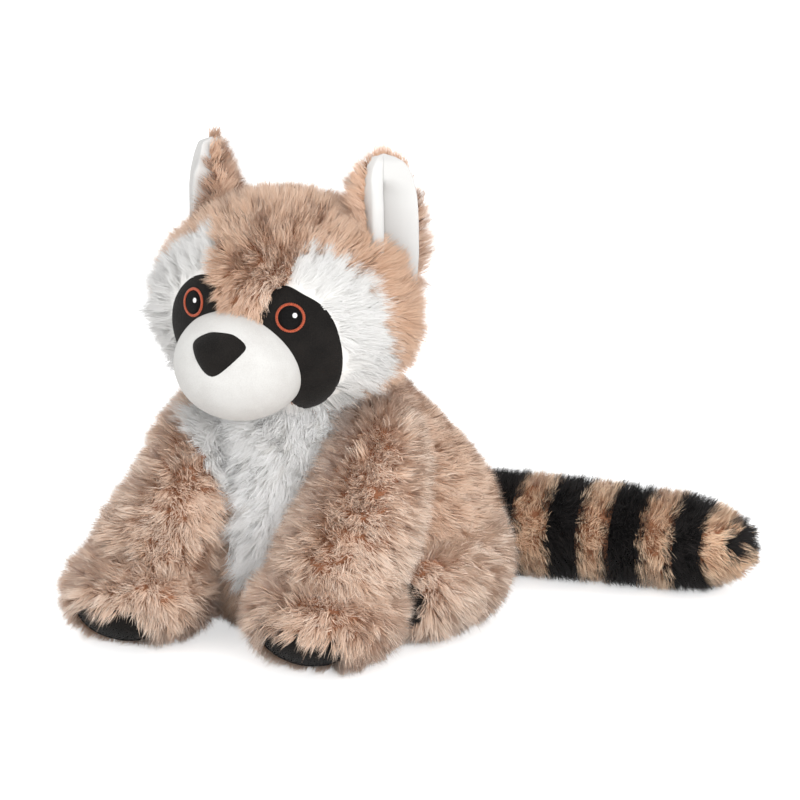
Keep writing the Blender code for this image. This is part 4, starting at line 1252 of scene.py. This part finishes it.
PAD_MIDDLE = unit(PAD_OFFSET * np.array((1, 1, 0.72)))
PAD_WIDE, PAD_TALL = 0.74, 0.48
for name, side in SIDES.items():
    arm = bar_form(ARM_LINES[name], ARM_HALF_THICKNESS, ARM_HALF_THICKNESS, -BODY_PILE)
    paw_centre = PAW_CENTRES[name]
    paw = ellipsoid(paw_centre, PAW_RADII - BODY_PILE, sides=72, rows=44)

    def bare_arm(p):
        free = ~inside_body(p, -BODY_PILE) & ~inside_head(p, 0.0) & ~inside_muzzle(p)
        if side < 0:
            free &= ~in_bib(p, 0.003)
        return free & ~inside_ellipsoid(p, paw_centre, PAW_RADII, -BODY_PILE - 0.001)

    def bare_paw(p):
        free = ~inside_body(p, -BODY_PILE) & (p[:, 2] > 0.003)
        free &= ~inside_bar(p, ARM_LINES[name], ARM_HALF_THICKNESS, -BODY_PILE - 0.001)
        return free & (pad_share(p, paw_centre, PAD_MIDDLE, PAD_WIDE, PAD_TALL) > 0.96)

    def arm_flow(p, n):
        return np.array((0.12 * side, -0.35, -1.0)) + 0.3 * n

    def paw_flow(p, n):
        return unit(p - paw_centre - np.array((0, 0.012, 0.016))) + np.array((0, -0.2, -0.35))

    # Painted light: the arms' and paws' pile gets a lighter tint than the head's, to offset the lower
    # parts getting less light
    grow_pile("arm_pile_" + name, arm, brown_pile, bare_arm, arm_flow, 0.0108, seed=20 + side,
              tint=0.75)
    if side < 0:
        grow_pile("bib_pile", arm, white_pile, lambda p: in_bib(p) & ~inside_head(p) & ~inside_muzzle(p),
                  lambda p, n: np.array((-0.8, 0.0, -1.0)) + 0 * p, 0.0145, 42, curved=14, seed=16,
                  swirl=0.4, tint=0.8, spacing=0.0031)
        near = in_bib(arm.points, 0.002)
        bib_tris = [tri for tri in arm.tris if near[tri].all()]
        new_object("bib_backing", arm.points + arm.normals * 0.0004, bib_tris, white_backing)
    grow_pile("paw_pile_" + name, paw, brown_pile, bare_paw, paw_flow, 0.0118, 20, seed=23 + side,
              tint=0.70)
    arm_hide = form_object("arm_backing_" + name, arm, brown_backing_gap_shade)
    paw_hide = new_object("paw_backing_" + name, over_floor(paw.points), paw.tris, brown_backing_gap_shade)
    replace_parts(arm_hide, "arm_" + name)
    pad = pad_cloth("arm_pad_cloth_" + name, paw_centre, PAW_RADII - PAD_DEPTH, PAD_MIDDLE, PAD_WIDE,
                    PAD_TALL)
    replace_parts(pad, "arm_pad_" + name)
    nap_on(pad, black_fuzz, length=0.0018)

# Hind legs
LEG_PAD_WIDE, LEG_PAD_TALL = 0.80, 0.66
for name, side in SIDES.items():
    line = leg_line(side)
    pad_middle = unit(LEG_PAD_OFFSET * np.array((side, 1, 1)))
    leg = bar_form(line, LEG_HALF_WIDTH, LEG_HALF_HEIGHT, -BODY_PILE)
    foot = line[-1]
    foot_radii = np.array((LEG_HALF_WIDTH[-1], LEG_HALF_HEIGHT[-1], LEG_HALF_HEIGHT[-1]))

    def bare_leg(p):
        free = ~inside_body(p, -BODY_PILE) & (p[:, 2] > 0.003) & ~inside_arm(p, name, -BODY_PILE)
        return free & (pad_share(p, foot, pad_middle, LEG_PAD_WIDE, LEG_PAD_TALL) > 0.98)

    def leg_flow(p, n):
        return np.array((0.1 * side, -0.45, -0.8)) + 0.3 * n

    # Painted light: the legs' pile gets a lighter tint than the head's, to offset the lower parts getting
    # less light
    grow_pile("leg_pile_" + name, leg, brown_pile, bare_leg, leg_flow, seed=26 + side, tint=0.80)
    leg_hide = new_object("leg_backing_" + name, over_floor(leg.points), leg.tris, brown_backing_gap_shade)
    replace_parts(leg_hide, "leg_" + name)
    pad = pad_cloth("leg_pad_cloth_" + name, foot, foot_radii - PAD_DEPTH, pad_middle, LEG_PAD_WIDE,
                    LEG_PAD_TALL)
    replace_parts(pad, "leg_pad_" + name)
    nap_on(pad, black_fuzz, length=0.0018)

# Tail
tail = bar_form(TAIL_LINE, TAIL_HALF_THICKNESS, TAIL_HALF_THICKNESS, -TAIL_PILE, rows=120, dome=0.5)
TAIL_PLACES = np.linspace(0, 1, 400)
TAIL_HAIR_ENDS = (0.449, 0.510, 0.577, 0.628, 0.706, 0.762, 0.868)
TAIL_POINTS = spline(TAIL_LINE, TAIL_PLACES)


def tail_place(p):
    """Where along the tail each point lies, from 0 at the body to 1 at the tip."""
    gaps = np.sum((p[:, None, :] - TAIL_POINTS[None]) ** 2, axis=-1)
    return TAIL_PLACES[np.argmin(gaps, axis=1)]


def band_of(p):
    """The number of the band whose pile is rooted at each point."""
    place = tail_place(p)
    band = np.searchsorted(TAIL_HAIR_ENDS, place) + 1
    mixed = np.array([noise.noise(Vector(q) / 0.0045) for q in p])
    tip = (place > 0.980) & (p[:, 2] > TAIL_LINE[-1][2] - 0.004) & (mixed > -0.22)
    return np.where(tip, 9, band)


def tail_flow(p, n):
    t = tail_place(p)
    return unit(spline(TAIL_LINE, np.minimum(t + 0.02, 1)) - spline(TAIL_LINE, t - 0.02)) \
        + np.array((0, 0, -0.3))


for colour, odd, material, backing in (("black", 1, black_pile, black_backing),
                                       ("brown", 0, tail_pile, brown_backing_gap_shade)):
    # Painted light: the brown bands get a lighter tint than the head's, to offset the low tail getting
    # less light
    grow_pile("tail_pile_" + colour, tail, material,
              lambda p: (band_of(p) % 2 == odd) & ~inside_body(p, -BODY_PILE) & (p[:, 2] > 0.003),
              tail_flow, 0.0095, 22, spacing=0.0034, straight=52, seed=30 + odd, tint=0.75 - 0.3 * odd)
    bands = range(1 if odd else 2, 10, 2)
    points, tris = [], []
    for band in bands:
        start, end = TAIL_BAND_ENDS[band - 1], TAIL_BAND_ENDS[band]
        rows = 24 if band == 1 else 6
        dome = 0.5 if band == 9 else 0.02
        piece = bar_form(TAIL_LINE, TAIL_HALF_THICKNESS, TAIL_HALF_THICKNESS, -TAIL_PILE, rows=rows,
                         dome=dome, part=(start, end))
        tris.append(piece.tris + sum(len(block) for block in points))
        points.append(piece.points)
    hide = new_object("tail_backing_" + colour, np.concatenate(points), np.concatenate(tris), backing)
    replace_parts(hide, *["tail_band_%d" % band for band in bands])


# Floor, light and camera

FLOOR_GLOW = 0.62
AMBIENT = 0.92


def direct_ray(tree):
    """1 for rays that show a surface to the camera, straight or mirrored, and 0 for rays that light it."""
    path = tree.nodes.new("ShaderNodeLightPath")
    shown = path.outputs["Is Camera Ray"]
    for kind in ("Is Glossy Ray", "Is Transmission Ray"):
        larger = tree.nodes.new("ShaderNodeMath")
        larger.operation = "MAXIMUM"
        tree.links.new(shown, larger.inputs[0])
        tree.links.new(path.outputs[kind], larger.inputs[1])
        shown = larger.outputs[0]
    return shown


floor_nodes = Nodes("floor")
floor_nodes.fix(Base_Color=(0.8, 0.8, 0.8, 1.0), Roughness=1.0, Specular_IOR_Level=0.0)
floor_nodes.fix(Emission_Color=(1.0, 1.0, 1.0, 1.0))
shown = direct_ray(floor_nodes.tree)
glow = floor_nodes.add("ShaderNodeMath", {0: shown, 1: FLOOR_GLOW}, operation="MULTIPLY")
floor_nodes.join(glow.outputs[0], "Emission Strength")
floor_mesh = bpy.data.meshes.new("floor")
floor_mesh.from_pydata([(-6, -6, 0), (6, -6, 0), (6, 6, 0), (-6, 6, 0)], [], [(0, 1, 2, 3)])
floor_mesh.materials.append(floor_nodes.material)
floor = placed("floor", floor_mesh)

world = bpy.data.worlds.new("studio")
bpy.context.scene.world = world
world.use_nodes = True
tree = world.node_tree
sky = tree.nodes["Background"]
strength = tree.nodes.new("ShaderNodeMapRange")
strength.inputs["To Min"].default_value = AMBIENT
strength.inputs["To Max"].default_value = 1.0
tree.links.new(direct_ray(tree), strength.inputs["Value"])
tree.links.new(strength.outputs["Result"], sky.inputs["Strength"])
sky.inputs["Color"].default_value = (1.0, 1.0, 1.0, 1.0)


def aimed(name, data, place, target):
    """A lamp or camera that looks from a place at a target."""
    item = placed(name, data)
    item.location = place
    item.rotation_euler = (target - place).to_track_quat("-Z", "Y").to_euler()
    return item


def lamp(name, place, target, size, power):
    data = bpy.data.lights.new(name, "AREA")
    data.shape = "DISK"
    data.size = size
    data.energy = power
    aimed(name, data, Vector(place), Vector(target))


lamp("key", (1.30, -1.10, 0.50), (0.02, 0.0, 0.09), 1.0, 17.0)
lamp("fill", (-1.0, -1.1, 0.60), (0.02, 0.0, 0.10), 1.0, 3.5)
lamp("top", (0.1, 0.3, 1.5), (0.03, 0.0, 0.12), 0.9, 1.0)

TARGET = Vector((0.0229, 0.0366, 0.1108))
CAMERA_PLACE = Vector((0.7142, -1.2635, 0.3970))
LENS_MM, SENSOR_MM = 129.8, 36.0
camera_data = bpy.data.cameras.new("camera")
camera_data.lens = LENS_MM
camera_data.sensor_width = SENSOR_MM
bpy.context.scene.camera = aimed("camera", camera_data, CAMERA_PLACE, TARGET)
bpy.context.scene.view_settings.view_transform = "Standard"
